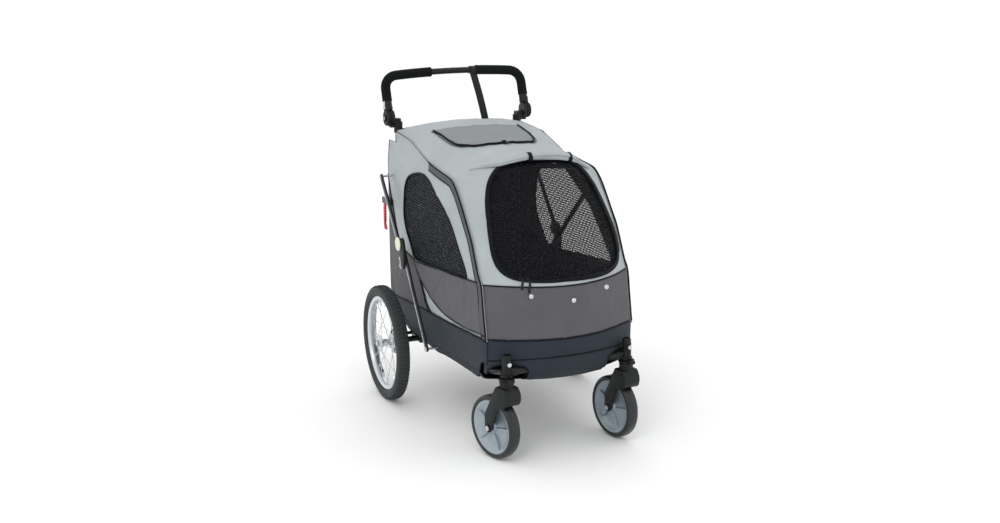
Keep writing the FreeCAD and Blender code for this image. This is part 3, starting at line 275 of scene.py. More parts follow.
# ---------------------------------------------------------------- chassis
# Powder-coated tubes, brackets and the brake bar under the cabin, with plated pins and axle ends.
for names, finish in (
        (("axle_tube", "side_rails", "front_cross_tube", "axle_brackets", "pivot_brackets", "uprights",
          "rear_arch", "frame_cross_tube", "hood_hoop", "handle_tube", "lever_brackets"), black_powder),
        (("frame_pins", "brace_bolts", "axle_pins", "tether_ring", "right_caster_bolt", "left_caster_bolt",
          "right_snap_button", "left_snap_button"), plated_steel_and_painted_highlight),
        (("brake_bar", "hinge_bases", "caster_stems", "right_swivel_lock", "left_swivel_lock", "floor_board",
          "right_hinge_button", "left_hinge_button"), black_nylon)):
    for name in names:
        nodes[name].data.materials.clear()
        nodes[name].data.materials.append(finish)
for side, sign in SIDES:
    cap = bmesh.new()  # domed axle nut over the pin's end
    turn(cap, [(0.0, 0.0), (0.0, 0.0105), (0.0025, 0.0112), (0.0030, 0.0085), (0.0045, 0.0078), (0.0052, 0.0)],
         Matrix.Translation((0.3835 * sign, WHEEL.y, WHEEL.z)) @ Matrix.Scale(sign, 4, (1, 0, 0)), steps=6,
         closed=False)
    settle(side + "_axle_nut", cap, plated_steel_and_painted_highlight, "base", sharp=20)

# ---------------------------------------------------------------- front casters
# Eight inch wheels: a solid glossy tyre on a deep silver dish with raised ribs, in a black two-arm fork
# with a hood, which swivels on a stem in a ribbed socket at the nose of each side rail.
# Cast polyurethane: smooth and glossier than the rear rubber.
caster_tyre, caster_shader = finish_of("cast_polyurethane_tyre", "#101314", 0.34)
speckle(caster_tyre, caster_shader, 0.004, 0.0001, ("#0C0E10", "#1B1F21"), (0.28, 0.42))
# Aluminium-painted nylon dish: pale metallic silver.
dish_silver, dish_shader = finish_of("silver_painted_wheel_dish", "#8E9BA3", 0.34, 0.5, Coat_Weight=0.3)
speckle(dish_silver, dish_shader, 0.0015, 0.00005, ("#7F8D96", "#A9B4BA"), (0.26, 0.42))


def plate(mesh, outline, first, last, bevel, place=Matrix.Identity(4), segments=2):
    """A flat shape cut from (along, up) points in the YZ plane, thick from first to last in X, edges eased."""
    before = set(mesh.verts)
    corners = [mesh.verts.new((first, along, up)) for along, up in outline]
    face = mesh.faces.new(corners)
    grown = bmesh.ops.extrude_face_region(mesh, geom=[face])["geom"]
    top = [v for v in grown if isinstance(v, bmesh.types.BMVert)]
    bmesh.ops.translate(mesh, verts=top, vec=(last - first, 0, 0))
    rims = [e for v in corners + top for e in v.link_edges if len(e.link_faces) == 2 and any(
        len(f.verts) == len(corners) for f in e.link_faces)]
    bmesh.ops.bevel(mesh, geom=list(set(rims)), offset=bevel, affect="EDGES", segments=segments, profile=0.5,
                    material=-1)
    bmesh.ops.transform(mesh, matrix=place, verts=[v for v in mesh.verts if v not in before])


def rounded(points, radius, steps=4):
    """Eases the corners of a flat outline with short arcs."""
    eased = []
    for before, here, after in zip(points[-1:] + points[:-1], points, points[1:] + points[:1]):
        a, b, c = Vector(before), Vector(here), Vector(after)
        near = min(radius, (a - b).length * 0.45, (c - b).length * 0.45)
        start, end = b + (a - b).normalized() * near, b + (c - b).normalized() * near
        for step in range(steps + 1):
            t = step / steps
            eased.append(tuple(start * (1 - t) ** 2 + b * 2 * t * (1 - t) + end * t * t))
    return eased


caster_tyre_half = [(-0.0155, 0.0838), (-0.0182, 0.0852), (-0.0198, 0.0885), (-0.0200, 0.0920), (-0.0188, 0.0958),
                    (-0.0160, 0.0988), (-0.0110, 0.1004), (0.0, 0.1010)]
dish_half = [(-0.0160, 0.0850), (-0.0172, 0.0848), (-0.0174, 0.0815), (-0.0162, 0.0795), (-0.0150, 0.0770),
             (-0.0090, 0.0700), (-0.0062, 0.0600), (-0.0060, 0.0420), (-0.0085, 0.0290), (-0.0120, 0.0215),
             (-0.0190, 0.0185), (-0.0196, 0.0160), (-0.0196, 0.0050)]
STEM = Vector((0.206, -0.456, 0.0))
for side, sign, swivel in (("right", -1.0, 16.0), ("left", 1.0, 8.5)):
    stem = Matrix.Translation((STEM.x * sign, STEM.y, 0)) @ Matrix.Rotation(math.radians(swivel), 4, "Z")
    wheel = stem @ Matrix.Translation((0, 0.054, 0.101))
    tyre = bmesh.new()
    turn(tyre, both_ways(caster_tyre_half), wheel, steps=96)
    settle(side + "_front_tyre_cast", tyre, caster_tyre, side + "_front_wheel",
           [side + "_front_tyre"])
    dish = bmesh.new()
    turn(dish, dish_half + [(-across, out) for across, out in reversed(dish_half)], wheel, steps=96)
    for number in range(5):  # raised ribs from the hub to the lip, on both faces
        for face in (-1, 1):
            spin = wheel @ Matrix.Rotation(2 * math.pi * (number + 0.15) / 5, 4, "X")
            rib = bmesh.ops.create_cube(dish, size=1.0, matrix=spin @ Matrix.Translation(
                (0.0085 * face, 0, 0.0475)) @ Matrix.Diagonal((0.0130, 0.0058, 0.0590, 1)))["verts"]
            bmesh.ops.bevel(dish, geom=list({e for v in rib for e in v.link_edges}), offset=0.0018,
                            affect="EDGES", segments=2, profile=0.5, material=-1)
    settle(side + "_front_dish", dish, dish_silver, side + "_front_wheel",
           [side + "_front_rim"])
    fork = bmesh.new()
    arm = rounded([(-0.034, 0.205), (-0.031, 0.229), (0.020, 0.232), (0.032, 0.217), (0.071, 0.143),
                   (0.069, 0.097), (0.061, 0.0875), (0.047, 0.0875), (0.039, 0.098), (0.009, 0.172),
                   (-0.027, 0.187)], 0.009)
    for first, last in ((-0.0300, -0.0242), (0.0242, 0.0300)):
        plate(fork, arm, first, last, 0.0014, stem)
    hood = rounded([(-0.034, 0.203), (-0.032, 0.229), (-0.022, 0.244), (0.022, 0.244), (0.034, 0.222),
                    (0.047, 0.2115), (0.046, 0.2085), (0.026, 0.2035), (0.006, 0.1975), (-0.012, 0.1890),
                    (-0.026, 0.1875)], 0.005)
    plate(fork, hood, -0.0290, 0.0290, 0.0042, stem, 3)
    turn(fork, [(0.2260, 0.0074), (0.2260, 0.0225), (0.2480, 0.0225), (0.2500, 0.0210), (0.2530, 0.0210),
                (0.2550, 0.0225), (0.2630, 0.0225), (0.2658, 0.0200), (0.2658, 0.0074)],
         stem @ Matrix.Rotation(math.radians(-90), 4, "Y"), steps=40)
    for first, last in ((-0.0320, -0.0298), (0.0298, 0.0320)):  # boss round the bolt on each arm
        turn(fork, [(first, 0.0), (first, 0.0105), (last, 0.0105), (last, 0.0)],
             stem @ Matrix.Translation((0, 0.054, 0.101)), steps=28, closed=False)
    settle(side + "_fork_moulded", fork, black_nylon, side + "_caster", [side + "_fork"],
           sharp=30)
    socket = bmesh.new()
    upright = Matrix.Translation((STEM.x * sign, STEM.y, 0)) @ Matrix.Rotation(math.radians(-90), 4, "Y")
    ribs = [(0.2730, 0.0074), (0.2730, 0.0178), (0.2750, 0.0188), (0.2830, 0.0188), (0.2850, 0.0150)]
    for level in range(6):
        low = 0.2860 + level * 0.0042
        ribs += [(low, 0.0140), (low + 0.0012, 0.0150), (low + 0.0028, 0.0150)]
    ribs += [(0.3130, 0.0138), (0.3390, 0.0138), (0.3432, 0.0126), (0.3448, 0.0100), (0.3448, 0.0074)]
    turn(socket, ribs, upright, steps=40)
    pad = bmesh.ops.create_cube(socket, size=1.0, matrix=Matrix.Translation((STEM.x * sign, STEM.y - 0.0105, 0.319))
                                @ Matrix.Diagonal((0.019, 0.009, 0.026, 1)))["verts"]
    bmesh.ops.bevel(socket, geom=list({e for v in pad for e in v.link_edges}), offset=0.0028, affect="EDGES",
                    segments=3, profile=0.5, material=-1)
    arm = bmesh.ops.create_cube(socket, size=1.0, matrix=Matrix.Translation(
        ((STEM.x - 0.022) * sign, STEM.y + 0.010, 0.2885)) @ Matrix.Diagonal((0.030, 0.030, 0.026, 1)))["verts"]
    bmesh.ops.bevel(socket, geom=list({e for v in arm for e in v.link_edges}), offset=0.004, affect="EDGES",
                    segments=3, profile=0.5, material=-1)
    settle(side + "_socket_ribbed", socket, black_nylon, "base", sharp=30)
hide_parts("caster_sockets")

# ---------------------------------------------------------------- side braces and fold levers
# Two flat oval steel links a side, black, that lock at a knee under a cream disc; the red moulded lever
# behind each rear edge frees them. A bright plated strip along each link is a painted highlight of the glossy tube.
# Cream ABS, smooth.
cream_abs, cream_shader = finish_of("cream_abs", "#DDDBC6", 0.35)
speckle(cream_abs, cream_shader, 0.003, 0.00005, ("#D2D0BA", "#E6E4D2"), (0.3, 0.42))
# Red polypropylene, moulded with a half gloss.
red_plastic, red_shader = finish_of("moulded_red_plastic", "#C32B48", 0.32)
speckle(red_plastic, red_shader, 0.003, 0.00006, ("#B4223F", "#D23C58"), (0.26, 0.4))
LOW, KNEE, HIGH = Vector((0.010, 0.234)), Vector((0.235, 0.546)), Vector((0.411, 0.751))


def link_outline(start, end, half, knob=None):
    """Outline of a flat bar with round ends, the last end swollen to a knob where one is given."""
    way = (end - start).normalized()
    across = Vector((-way.y, way.x))
    points = []
    for centre, radius, turned in ((start, half, 1), (end, knob or half, -1)):
        for step in range(13):
            angle = math.pi * step / 12
            points.append(tuple(centre + across * (radius * math.cos(angle) * turned)
                                - way * (radius * math.sin(angle) * turned)))
    return points


for side, sign in SIDES:
    for name, start, end, inner in (("lower", LOW, KNEE, 0.2842), ("upper", HIGH, KNEE, 0.2942)):
        way = (end - start).normalized()
        across = Vector((-way.y, way.x))
        rear = across if across.x > 0 else -across
        bar = bmesh.new()
        plate(bar, link_outline(start, end, 0.0092), inner, inner + 0.0076, 0.0022, segments=3)
        plate(bar, link_outline(end - way * 0.001, end, 0.0205), inner + 0.0003, inner + 0.0073, 0.0022, segments=3)
        settle("%s_brace_%s_bar" % (side, name), bar, black_powder,
               "%s_brace_%s" % (side, name), ["%s_brace_%s" % (side, name)], mirror=sign < 0)
        # painted highlight: a thin bright plated strip near the rear edge of the link, where the glossy black tube
        # shows its highlight
        strip = bmesh.new()
        first = start + way * 0.012 + rear * 0.0064
        last = end - way * 0.026 + rear * 0.0064
        plate(strip, link_outline(first, last, 0.0022), inner + 0.0070, inner + 0.0086, 0.0005, segments=2)
        settle("%s_brace_%s_strip" % (side, name), strip, plated_steel_and_painted_highlight,
               "%s_brace_%s" % (side, name), mirror=sign < 0)
    disc = bmesh.new()
    turn(disc, [(0.3018, 0.0), (0.3018, 0.0222), (0.3032, 0.0238), (0.3050, 0.0238), (0.3066, 0.0222),
                (0.3074, 0.0130), (0.3070, 0.0070), (0.3060, 0.0060), (0.3060, 0.0)],
         Matrix.Translation((0, KNEE.x, KNEE.y)), steps=48, closed=False)
    settle(side + "_knee_disc", disc, cream_abs, side + "_brace_upper", mirror=sign < 0)
    knuckle = bmesh.new()
    plate(knuckle, rounded([(0.196, 0.556), (0.214, 0.572), (0.238, 0.560), (0.236, 0.520), (0.222, 0.470),
                            (0.206, 0.462), (0.190, 0.478), (0.188, 0.520)], 0.014), 0.2905, 0.3005, 0.0026)
    settle(side + "_knee_knuckle", knuckle, black_nylon, side + "_brace_lower", mirror=sign < 0)
    latch = bmesh.new()
    plate(latch, rounded([(0.228, 0.530), (0.242, 0.530), (0.246, 0.470), (0.238, 0.456), (0.228, 0.460)], 0.006),
          0.2930, 0.2956, 0.0006)
    for along, up in ((0.2375, 0.494), (0.2360, 0.468)):
        turn(latch, [(0.2930, 0.0), (0.2930, 0.0062), (0.2980, 0.0056), (0.2992, 0.0036), (0.2992, 0.0)],
             Matrix.Translation((0, along, up)), steps=20, closed=False)
    settle(side + "_knee_latch", latch, plated_steel_and_painted_highlight, side + "_brace_lower", mirror=sign < 0)
    for name, body, along, up, start in (("foot", "_brace_lower", LOW.x, LOW.y, 0.2915),
                                         ("head", "_brace_upper", HIGH.x, HIGH.y, 0.3015)):
        screw = bmesh.new()
        turn(screw, [(start, 0.0), (start, 0.0075), (start + 0.0016, 0.0078), (start + 0.0042, 0.0058),
                     (start + 0.0046, 0.0)], Matrix.Translation((0, along, up)), steps=24, closed=False)
        settle("%s_brace_%s_screw" % (side, name), screw, plated_steel_and_painted_highlight, side + body,
               mirror=sign < 0)
    lever = bmesh.new()
    plate(lever, rounded([(0.4835, 0.6600), (0.4995, 0.6600), (0.5020, 0.5900), (0.5028, 0.5560), (0.5000, 0.5402),
                          (0.4790, 0.5420), (0.4780, 0.5470), (0.4900, 0.5620), (0.4865, 0.5950)], 0.006),
          0.2572, 0.2648, 0.0022, segments=3)
    for first, last in ((0.2556, 0.2574), (0.2646, 0.2664)):  # moulded grip ribs on both cheeks
        for level in range(5):
            up = 0.572 + level * 0.011
            plate(lever, rounded([(0.4890, up), (0.4990, up), (0.4990, up + 0.004), (0.4890, up + 0.004)], 0.0015),
                  first, last, 0.0006)
    settle(side + "_fold_lever_moulded", lever, red_plastic, side + "_fold_lever",
           [side + "_fold_lever"], mirror=sign < 0)

# ---------------------------------------------------------------- push handle
# Black tube with foam grips round both corners, moulded hinge caps with a push knob, and a webbing strap
# looped on the bar; a bright strip down the outside of each leg is a painted highlight of the glossy tube.
# Closed-cell foam sleeve: very matt, finely pitted.
grip_foam, foam_shader = finish_of("closed_cell_grip_foam", "#0E1112", 0.92, Specular_IOR_Level=0.15)
speckle(grip_foam, foam_shader, 0.0014, 0.0005, ("#0A0C0D", "#161A1B"), (0.85, 0.97))
HINGE, LEAN = Vector((0.0, 0.4206, 0.9535)), math.radians(18.3)
RISE = Vector((0, math.sin(LEAN), math.cos(LEAN)))


def on_bar(x, reach):
    return HINGE + Vector((x, 0, 0)) + RISE * reach


def sewn_tube(name, line, radius, finish, body, closed=False, thick=None, segments=5, order=4):
    """A round cord, piping or tube along a smooth line, as a mesh; thick scales the radius point by point."""
    curve = bpy.data.curves.new(name, "CURVE")
    curve.dimensions = "3D"
    curve.bevel_depth, curve.bevel_resolution, curve.resolution_u = radius, segments, 6
    curve.use_fill_caps = True
    spline = curve.splines.new("NURBS")
    spline.points.add(len(line) - 1)
    for number, point in enumerate(line):
        spline.points[number].co = (*point, 1.0)
        spline.points[number].radius = thick[number] if thick else 1.0
    spline.order_u, spline.use_endpoint_u, spline.use_cyclic_u = order, not closed, closed
    rough = bpy.data.objects.new(name + "_line", curve)
    bpy.context.scene.collection.objects.link(rough)
    bpy.context.view_layer.update()
    drawn = bpy.data.meshes.new_from_object(rough)
    mesh = bmesh.new()
    mesh.from_mesh(drawn)
    bpy.data.objects.remove(rough)
    bpy.data.curves.remove(curve)
    bpy.data.meshes.remove(drawn)
    bmesh.ops.remove_doubles(mesh, verts=mesh.verts, dist=1e-5)
    return settle(name, mesh, finish, body, sharp=60)


def bar_line(first_reach, last_x, sign):
    """Centre line of the bar from a reach up one leg, round the corner, to a distance from the middle."""
    line = [on_bar(sign * 0.260, first_reach + (0.103 - first_reach) * step / 4) for step in range(4)]
    for step in range(9):
        angle = math.radians(180 - 85.9 * step / 8)
        line.append(on_bar(sign * (0.214 - 0.046 * math.cos(angle)), 0.103 + 0.046 * math.sin(angle)))
    for step in range(1, 9):
        x = 0.2173 + (last_x - 0.2173) * step / 8
        line.append(on_bar(sign * x, math.sqrt(3.039 ** 2 - x * x) - 2.8823))
    return line


for side, sign in SIDES:
    line = bar_line(0.060, 0.087, sign)
    grip = sewn_tube(side + "_grip_foam", line, 0.0168, grip_foam, "handle", segments=8, order=3)
    if sign < 0:
        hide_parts("grips")
    ring = bmesh.new()  # moulded end ring of the grip, on the open side and on the leg
    for spot, way in ((line[-1], (line[-2] - line[-1]).normalized()), (line[0], RISE)):
        face = Matrix.Translation(spot) @ way.to_track_quat("X", "Z").to_matrix().to_4x4()
        turn(ring, [(-0.002, 0.0112), (-0.002, 0.0160), (0.0, 0.0173), (0.004, 0.0173), (0.0055, 0.0165),
                    (0.0055, 0.0112)], face, steps=32)
    settle(side + "_grip_rings", ring, grip_foam, "handle")
    strip = bmesh.new()  # painted highlight: a bright plated strip on the outside of the leg, where the glossy tube shows its highlight
    for first, last, level in ((0.030, 0.060, 0.0154), (0.034, 0.058, 0.0160)):
        part = bmesh.ops.create_cube(strip, size=1.0, matrix=Matrix.Translation(
            on_bar(sign * 0.260, (first + last) / 2) + Vector((sign * (level - 0.0014), -0.0050, 0.0016)))
            @ Matrix.Rotation(-LEAN, 4, "X") @ Matrix.Rotation(-0.32 * sign, 4, "Z")
            @ Matrix.Diagonal((0.0022, 0.0075, last - first, 1)))["verts"]
        bmesh.ops.bevel(strip, geom=list({e for v in part for e in v.link_edges}), offset=0.0008, affect="EDGES",
                        segments=2, profile=0.5, material=-1)
    settle(side + "_leg_painted_highlight", strip, plated_steel_and_painted_highlight, "handle")
    cap = bmesh.new()
    turn(cap, [(0.2605, 0.0), (0.2605, 0.0262), (0.2620, 0.0272), (0.2660, 0.0272), (0.2668, 0.0262),
               (0.2680, 0.0262), (0.2688, 0.0272), (0.2722, 0.0272), (0.2755, 0.0246), (0.2755, 0.0190),
               (0.2740, 0.0175), (0.2740, 0.0130), (0.2630, 0.0126), (0.2630, 0.0)],
         Matrix.Translation((0, HINGE.y, HINGE.z)), steps=48, closed=False)
    for number in range(24):  # grip teeth round the rim
        bmesh.ops.create_cube(cap, size=1.0, matrix=Matrix.Translation((0.2640, HINGE.y, HINGE.z))
                              @ Matrix.Rotation(2 * math.pi * number / 24, 4, "X")
                              @ Matrix.Translation((0, 0, 0.0268)) @ Matrix.Diagonal((0.0045, 0.0034, 0.0024, 1)))
    turned_leg = (Matrix.Translation(on_bar(0.260, 0.028)) @ RISE.to_track_quat("X", "Z").to_matrix().to_4x4())
    turn(cap, [(0.0, 0.0112), (0.0, 0.0150), (0.003, 0.0158), (0.012, 0.0158), (0.013, 0.0150), (0.030, 0.0150),
               (0.032, 0.0140), (0.032, 0.0112)], turned_leg, steps=36)
    neck = bmesh.ops.create_cube(cap, size=1.0, matrix=Matrix.Translation(on_bar(0.2665, 0.031))
                                 @ Matrix.Rotation(-LEAN, 4, "X") @ Matrix.Diagonal((0.0150, 0.0260, 0.036, 1)))["verts"]
    bmesh.ops.bevel(cap, geom=list({e for v in neck for e in v.link_edges}), offset=0.0045, affect="EDGES",
                    segments=3, profile=0.5, material=-1)
    made = settle(side + "_hinge_cap_moulded", cap, black_nylon, "handle", mirror=sign < 0,
                  sharp=32)
    if sign < 0:
        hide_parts("hinge_caps")
    stud = bmesh.new()
    turn(stud, [(0.2790, 0.0), (0.2790, 0.0050), (0.2798, 0.0052), (0.2806, 0.0036), (0.2808, 0.0)],
         Matrix.Translation((0, HINGE.y, HINGE.z)), steps=24, closed=False)
    settle(side + "_hinge_stud", stud, plated_steel_and_painted_highlight, side + "_hinge_button", mirror=sign < 0)

# ---------------------------------------------------------------- cabin cloths
# Woven polyester with a coated back: pale grey on the canopy and sides, dark grey on the pockets and
# front, blue-black on the tub, with a black lining inside.


def cloth(name, code, pale, deep, rough=0.72, weave=0.0024, lift=0.0005, sheen=0.06, gloss=0.3):
    """A plain-weave polyester drawn in the sheet's own flat metres: 0.5 mm yarns are too fine to show, so
    the weave is drawn at weave metres; cloudy shifts of tone come from handling and creases."""
    made, shader = finish_of(name, code, rough, Sheen_Weight=sheen, Specular_IOR_Level=gloss)
    flat = add(made, "ShaderNodeTexCoord")
    split = add(made, "ShaderNodeSeparateXYZ", None, {0: flat.outputs["UV"]})
    waves = []
    for axis in ("X", "Y"):
        turns = add(made, "ShaderNodeMath", {"operation": "MULTIPLY", 1: 2 * math.pi / weave}, {0: split.outputs[axis]})
        waves.append(add(made, "ShaderNodeMath", {"operation": "SINE"}, {0: turns.outputs[0]}))
    crossed = add(made, "ShaderNodeMath", {"operation": "MULTIPLY"}, {0: waves[0].outputs[0], 1: waves[1].outputs[0]})
    yarn = add(made, "ShaderNodeTexNoise", {"Scale": 420.0, "Detail": 2.0}, {"Vector": flat.outputs["Object"]})
    cloud = add(made, "ShaderNodeTexNoise", {"Scale": 9.0, "Detail": 5.0, "Roughness": 0.6},
                {"Vector": flat.outputs["Object"]})
    crush = add(made, "ShaderNodeTexNoise", {"Scale": 34.0, "Detail": 3.0, "Distortion": 0.6},
                {"Vector": flat.outputs["Object"]})
    tone = add(made, "ShaderNodeMath", {"operation": "MULTIPLY_ADD", 1: 0.30, 2: -0.15}, {0: yarn.outputs["Fac"]})
    mixed = add(made, "ShaderNodeMath", {"operation": "ADD", "use_clamp": True},
                {0: cloud.outputs["Fac"], 1: tone.outputs[0]})
    shade = add(made, "ShaderNodeMix", {"data_type": "RGBA", 6: colour(deep), 7: colour(pale)}, {0: mixed.outputs[0]})
    feed(made, shade.outputs[2], shader.inputs["Base Color"])
    span = add(made, "ShaderNodeMapRange", {"To Min": rough - 0.08, "To Max": rough + 0.08},
               {"Value": cloud.outputs["Fac"]})
    feed(made, span.outputs["Result"], shader.inputs["Roughness"])
    fine = add(made, "ShaderNodeBump", {"Strength": 0.5, "Distance": lift}, {"Height": crossed.outputs[0]})
    broad = add(made, "ShaderNodeBump", {"Strength": 0.35, "Distance": 0.006},
                {"Height": crush.outputs["Fac"], "Normal": fine.outputs["Normal"]})
    feed(made, broad.outputs["Normal"], shader.inputs["Normal"])
    return made


pale_cloth = cloth("pale_grey_polyester", "#A9B0B2", "#B7BEC0", "#9AA1A4")
dark_cloth = cloth("dark_grey_polyester", "#56555A", "#5F5E62", "#4B4A4F")
# The roof hatch flap gets a darker grey copy of the pale polyester: painted shade of the lifted, creased flap.
hatch_cloth_painted_shade = cloth("hatch_grey_polyester_painted_shade", "#84898A", "#8E9394", "#777C7E")
tub_cloth = cloth("blue_black_polyester", "#1C2530", "#25303B", "#141C26", rough=0.6, sheen=0.02)
lining = cloth("black_coated_lining", "#08090B", "#0B0D10", "#060708", rough=0.6, sheen=0.0, gloss=0.15)
tape_cloth = cloth("grey_seam_tape", "#4B5052", "#565B5D", "#3E4345", weave=0.0040)
# Twisted polyester binding and piping, black.
piping, piping_shader = finish_of("black_polyester_binding", "#08090B", 0.7, Specular_IOR_Level=0.2)
speckle(piping, piping_shader, 0.0018, 0.0003, ("#060708", "#0E1114"), (0.62, 0.8))


def netting(name, code, pitch_across, pitch_up, solid, row):
    """Knitted polyester mesh: real holes of about 2 mm, drawn wider so that they show; the openings let
    the light through by Alpha, and the rows between them stand out as ribs."""
    made, shader = finish_of(name, code, 0.6, Specular_IOR_Level=0.2)
    flat = add(made, "ShaderNodeTexCoord")
    split = add(made, "ShaderNodeSeparateXYZ", None, {0: flat.outputs["UV"]})
    lines = add(made, "ShaderNodeMath", {"operation": "MULTIPLY", 1: 2 * math.pi / pitch_up}, {0: split.outputs["Y"]})
    rows = add(made, "ShaderNodeMath", {"operation": "SINE"}, {0: lines.outputs[0]})
    half = add(made, "ShaderNodeMath", {"operation": "MULTIPLY", 1: math.pi / pitch_up}, {0: split.outputs["Y"]})
    nudge = add(made, "ShaderNodeMath", {"operation": "MULTIPLY_ADD", 1: 2 * math.pi / pitch_across},
                {0: split.outputs["X"], 2: half.outputs[0]})
    columns = add(made, "ShaderNodeMath", {"operation": "SINE"}, {0: nudge.outputs[0]})
    both = add(made, "ShaderNodeMath", {"operation": "MULTIPLY_ADD", 1: row}, {0: rows.outputs[0], 2: columns.outputs[0]})
    cover = add(made, "ShaderNodeMapRange", {"From Min": -0.5, "From Max": 0.5, "To Min": solid, "To Max": 1.0},
                {"Value": both.outputs[0]})
    feed(made, cover.outputs["Result"], shader.inputs["Alpha"])
    bump = add(made, "ShaderNodeBump", {"Strength": 0.6, "Distance": 0.0008}, {"Height": both.outputs[0]})
    feed(made, bump.outputs["Normal"], shader.inputs["Normal"])
    return made


side_net = netting("ribbed_side_mesh", "#181E24", 0.0065, 0.0085, 0.38, 1.5)
front_net = netting("fine_front_mesh", "#0A0D12", 0.0062, 0.0062, 0.25, 1.0)

# ---------------------------------------------------------------- cabin shell
# The cover is cut as a wrap that runs from the rear over the roof, down the front and back under the
# floor, sewn to two flat sides. Stations round the wrap: side edge (y, z), then middle (y, z).
STATIONS = [
    (0.482, 0.800, 0.492, 0.800), (0.462, 0.880, 0.470, 0.884), (0.426, 0.916, 0.434, 0.934),
    (0.240, 0.902, 0.240, 0.927), (0.069, 0.850, 0.069, 0.907), (-0.150, 0.828, -0.232, 0.888),
    (-0.225, 0.755, -0.331, 0.755), (-0.295, 0.671, -0.392, 0.671), (-0.350, 0.569, -0.466, 0.569),
    (-0.372, 0.542, -0.488, 0.542), (-0.405, 0.375, -0.488, 0.375), (-0.405, 0.250, -0.486, 0.248),
    (-0.126, 0.234, -0.126, 0.234), (0.010, 0.219, 0.010, 0.219), (0.300, 0.219, 0.300, 0.219),
    (0.449, 0.286, 0.449, 0.286), (0.486, 0.380, 0.494, 0.380), (0.482, 0.800, 0.492, 0.800)]


def eased(stations, ease, fine=12):
    """Rounds each station a little, so that the cloth turns its corners in short curves."""
    points = np.array(stations)
    out = []
    for number in range(len(points)):
        here = points[number]
        if number in (0, len(points) - 1):
            out.append((here, number))
            continue
        before, after = points[number - 1], points[number + 1]
        near_a = min(0.45, ease / max(np.linalg.norm((here - before)[2:]), 1e-6))
        near_b = min(0.45, ease / max(np.linalg.norm((after - here)[2:]), 1e-6))
        a, b = here + (before - here) * near_a, here + (after - here) * near_b
        for step in range(fine + 1):
            t = step / fine
            out.append((a * (1 - t) ** 2 + here * 2 * t * (1 - t) + b * t * t, number - near_a + (near_a + near_b) * t))
    return out


WRAP = eased(STATIONS, 0.055)
wrap_points = np.array([p for p, _ in WRAP])
wrap_station = np.array([n for _, n in WRAP])
wrap_long = np.concatenate([[0.0], np.cumsum(np.linalg.norm(np.diff(wrap_points[:, 2:], axis=0), axis=1))])
HALF, TURN = 0.250, 0.014


def at_station(number):
    """Length round the wrap at a station, which may lie between two."""
    return float(np.interp(number, wrap_station, wrap_long))


def wrap(x, long, lift=0.0):
    """A point of the wrap at a distance from the middle and a length round it, lifted off the cloth."""
    here = np.array([np.interp(long, wrap_long, wrap_points[:, k]) for k in range(4)])
    step = np.array([np.interp(long + 0.004, wrap_long, wrap_points[:, k]) for k in range(4)]) - here
    share = min(1.0, abs(x) / HALF) ** 2
    y, z = here[2:] * (1 - share) + here[:2] * share
    dy, dz = step[2:] * (1 - share) + step[:2] * share
    size = math.hypot(dy, dz) or 1.0
    out = Vector((0.0, -dz / size, dy / size)) * -1.0
    past = max(0.0, abs(x) - (HALF - TURN))
    drop = TURN - math.sqrt(max(0.0, TURN * TURN - past * past))
    return Vector((x, y, z)) + out * (lift - drop)


def long_at(x, level, first=5, last=11):
    """Length round the wrap where its front, at a distance from the middle, is at a height."""
    lengths = np.linspace(at_station(first), at_station(last), 120)
    heights = [wrap(x, length).z for length in lengths]
    return float(np.interp(-level, [-h for h in heights], lengths))


def smooth(points, count, closed=True):
    """Even points on a smooth line through the given ones."""
    given = [Vector(p) for p in points]
    ring = len(given)
    out = []
    for number in range(ring if closed else ring - 1):
        a, b, c, d = (given[(number + k) % ring] if closed else given[min(max(number + k, 0), ring - 1)]
                      for k in (-1, 0, 1, 2))
        for step in range(8):
            t = step / 8
            out.append(b * 1.0 + (c - a) * (0.5 * t) + (a * 2 - b * 5 + c * 4 - d) * (0.5 * t * t)
                       + (b * 3 - a - c * 3 + d) * (0.5 * t ** 3))
    if not closed:
        out.append(given[-1])
    track = out + out[:1] if closed else out
    travel = np.concatenate([[0.0], np.cumsum([(q - p).length for p, q in zip(track, track[1:])])])
    marks = np.linspace(0, travel[-1], count, endpoint=not closed)
    return [Vector([float(np.interp(m, travel, [p[k] for p in track])) for k in range(len(track[0]))]) for m in marks]


def inside(outline, spots):
    """Which of the flat spots lie inside an outline."""
    ring = np.array([tuple(p) for p in outline])
    nxt = np.roll(ring, -1, axis=0)
    x, y = spots[:, :1], spots[:, 1:]
    crosses = ((ring[:, 1] > y) != (nxt[:, 1] > y)) & (
        x < (nxt[:, 0] - ring[:, 0]) * (y - ring[:, 1]) / (nxt[:, 1] - ring[:, 1] + 1e-12) + ring[:, 0])
    return crosses.sum(axis=1) % 2 == 1


def nearest(outline, spot):
    ring = np.array([tuple(p) for p in outline])
    step = np.roll(ring, -1, axis=0) - ring
    share = np.clip(((spot - ring) * step).sum(axis=1) / np.maximum((step ** 2).sum(axis=1), 1e-12), 0, 1)
    found = ring + step * share[:, None]
    best = np.argmin(((found - spot) ** 2).sum(axis=1))
    return found[best], math.dist(found[best], spot)


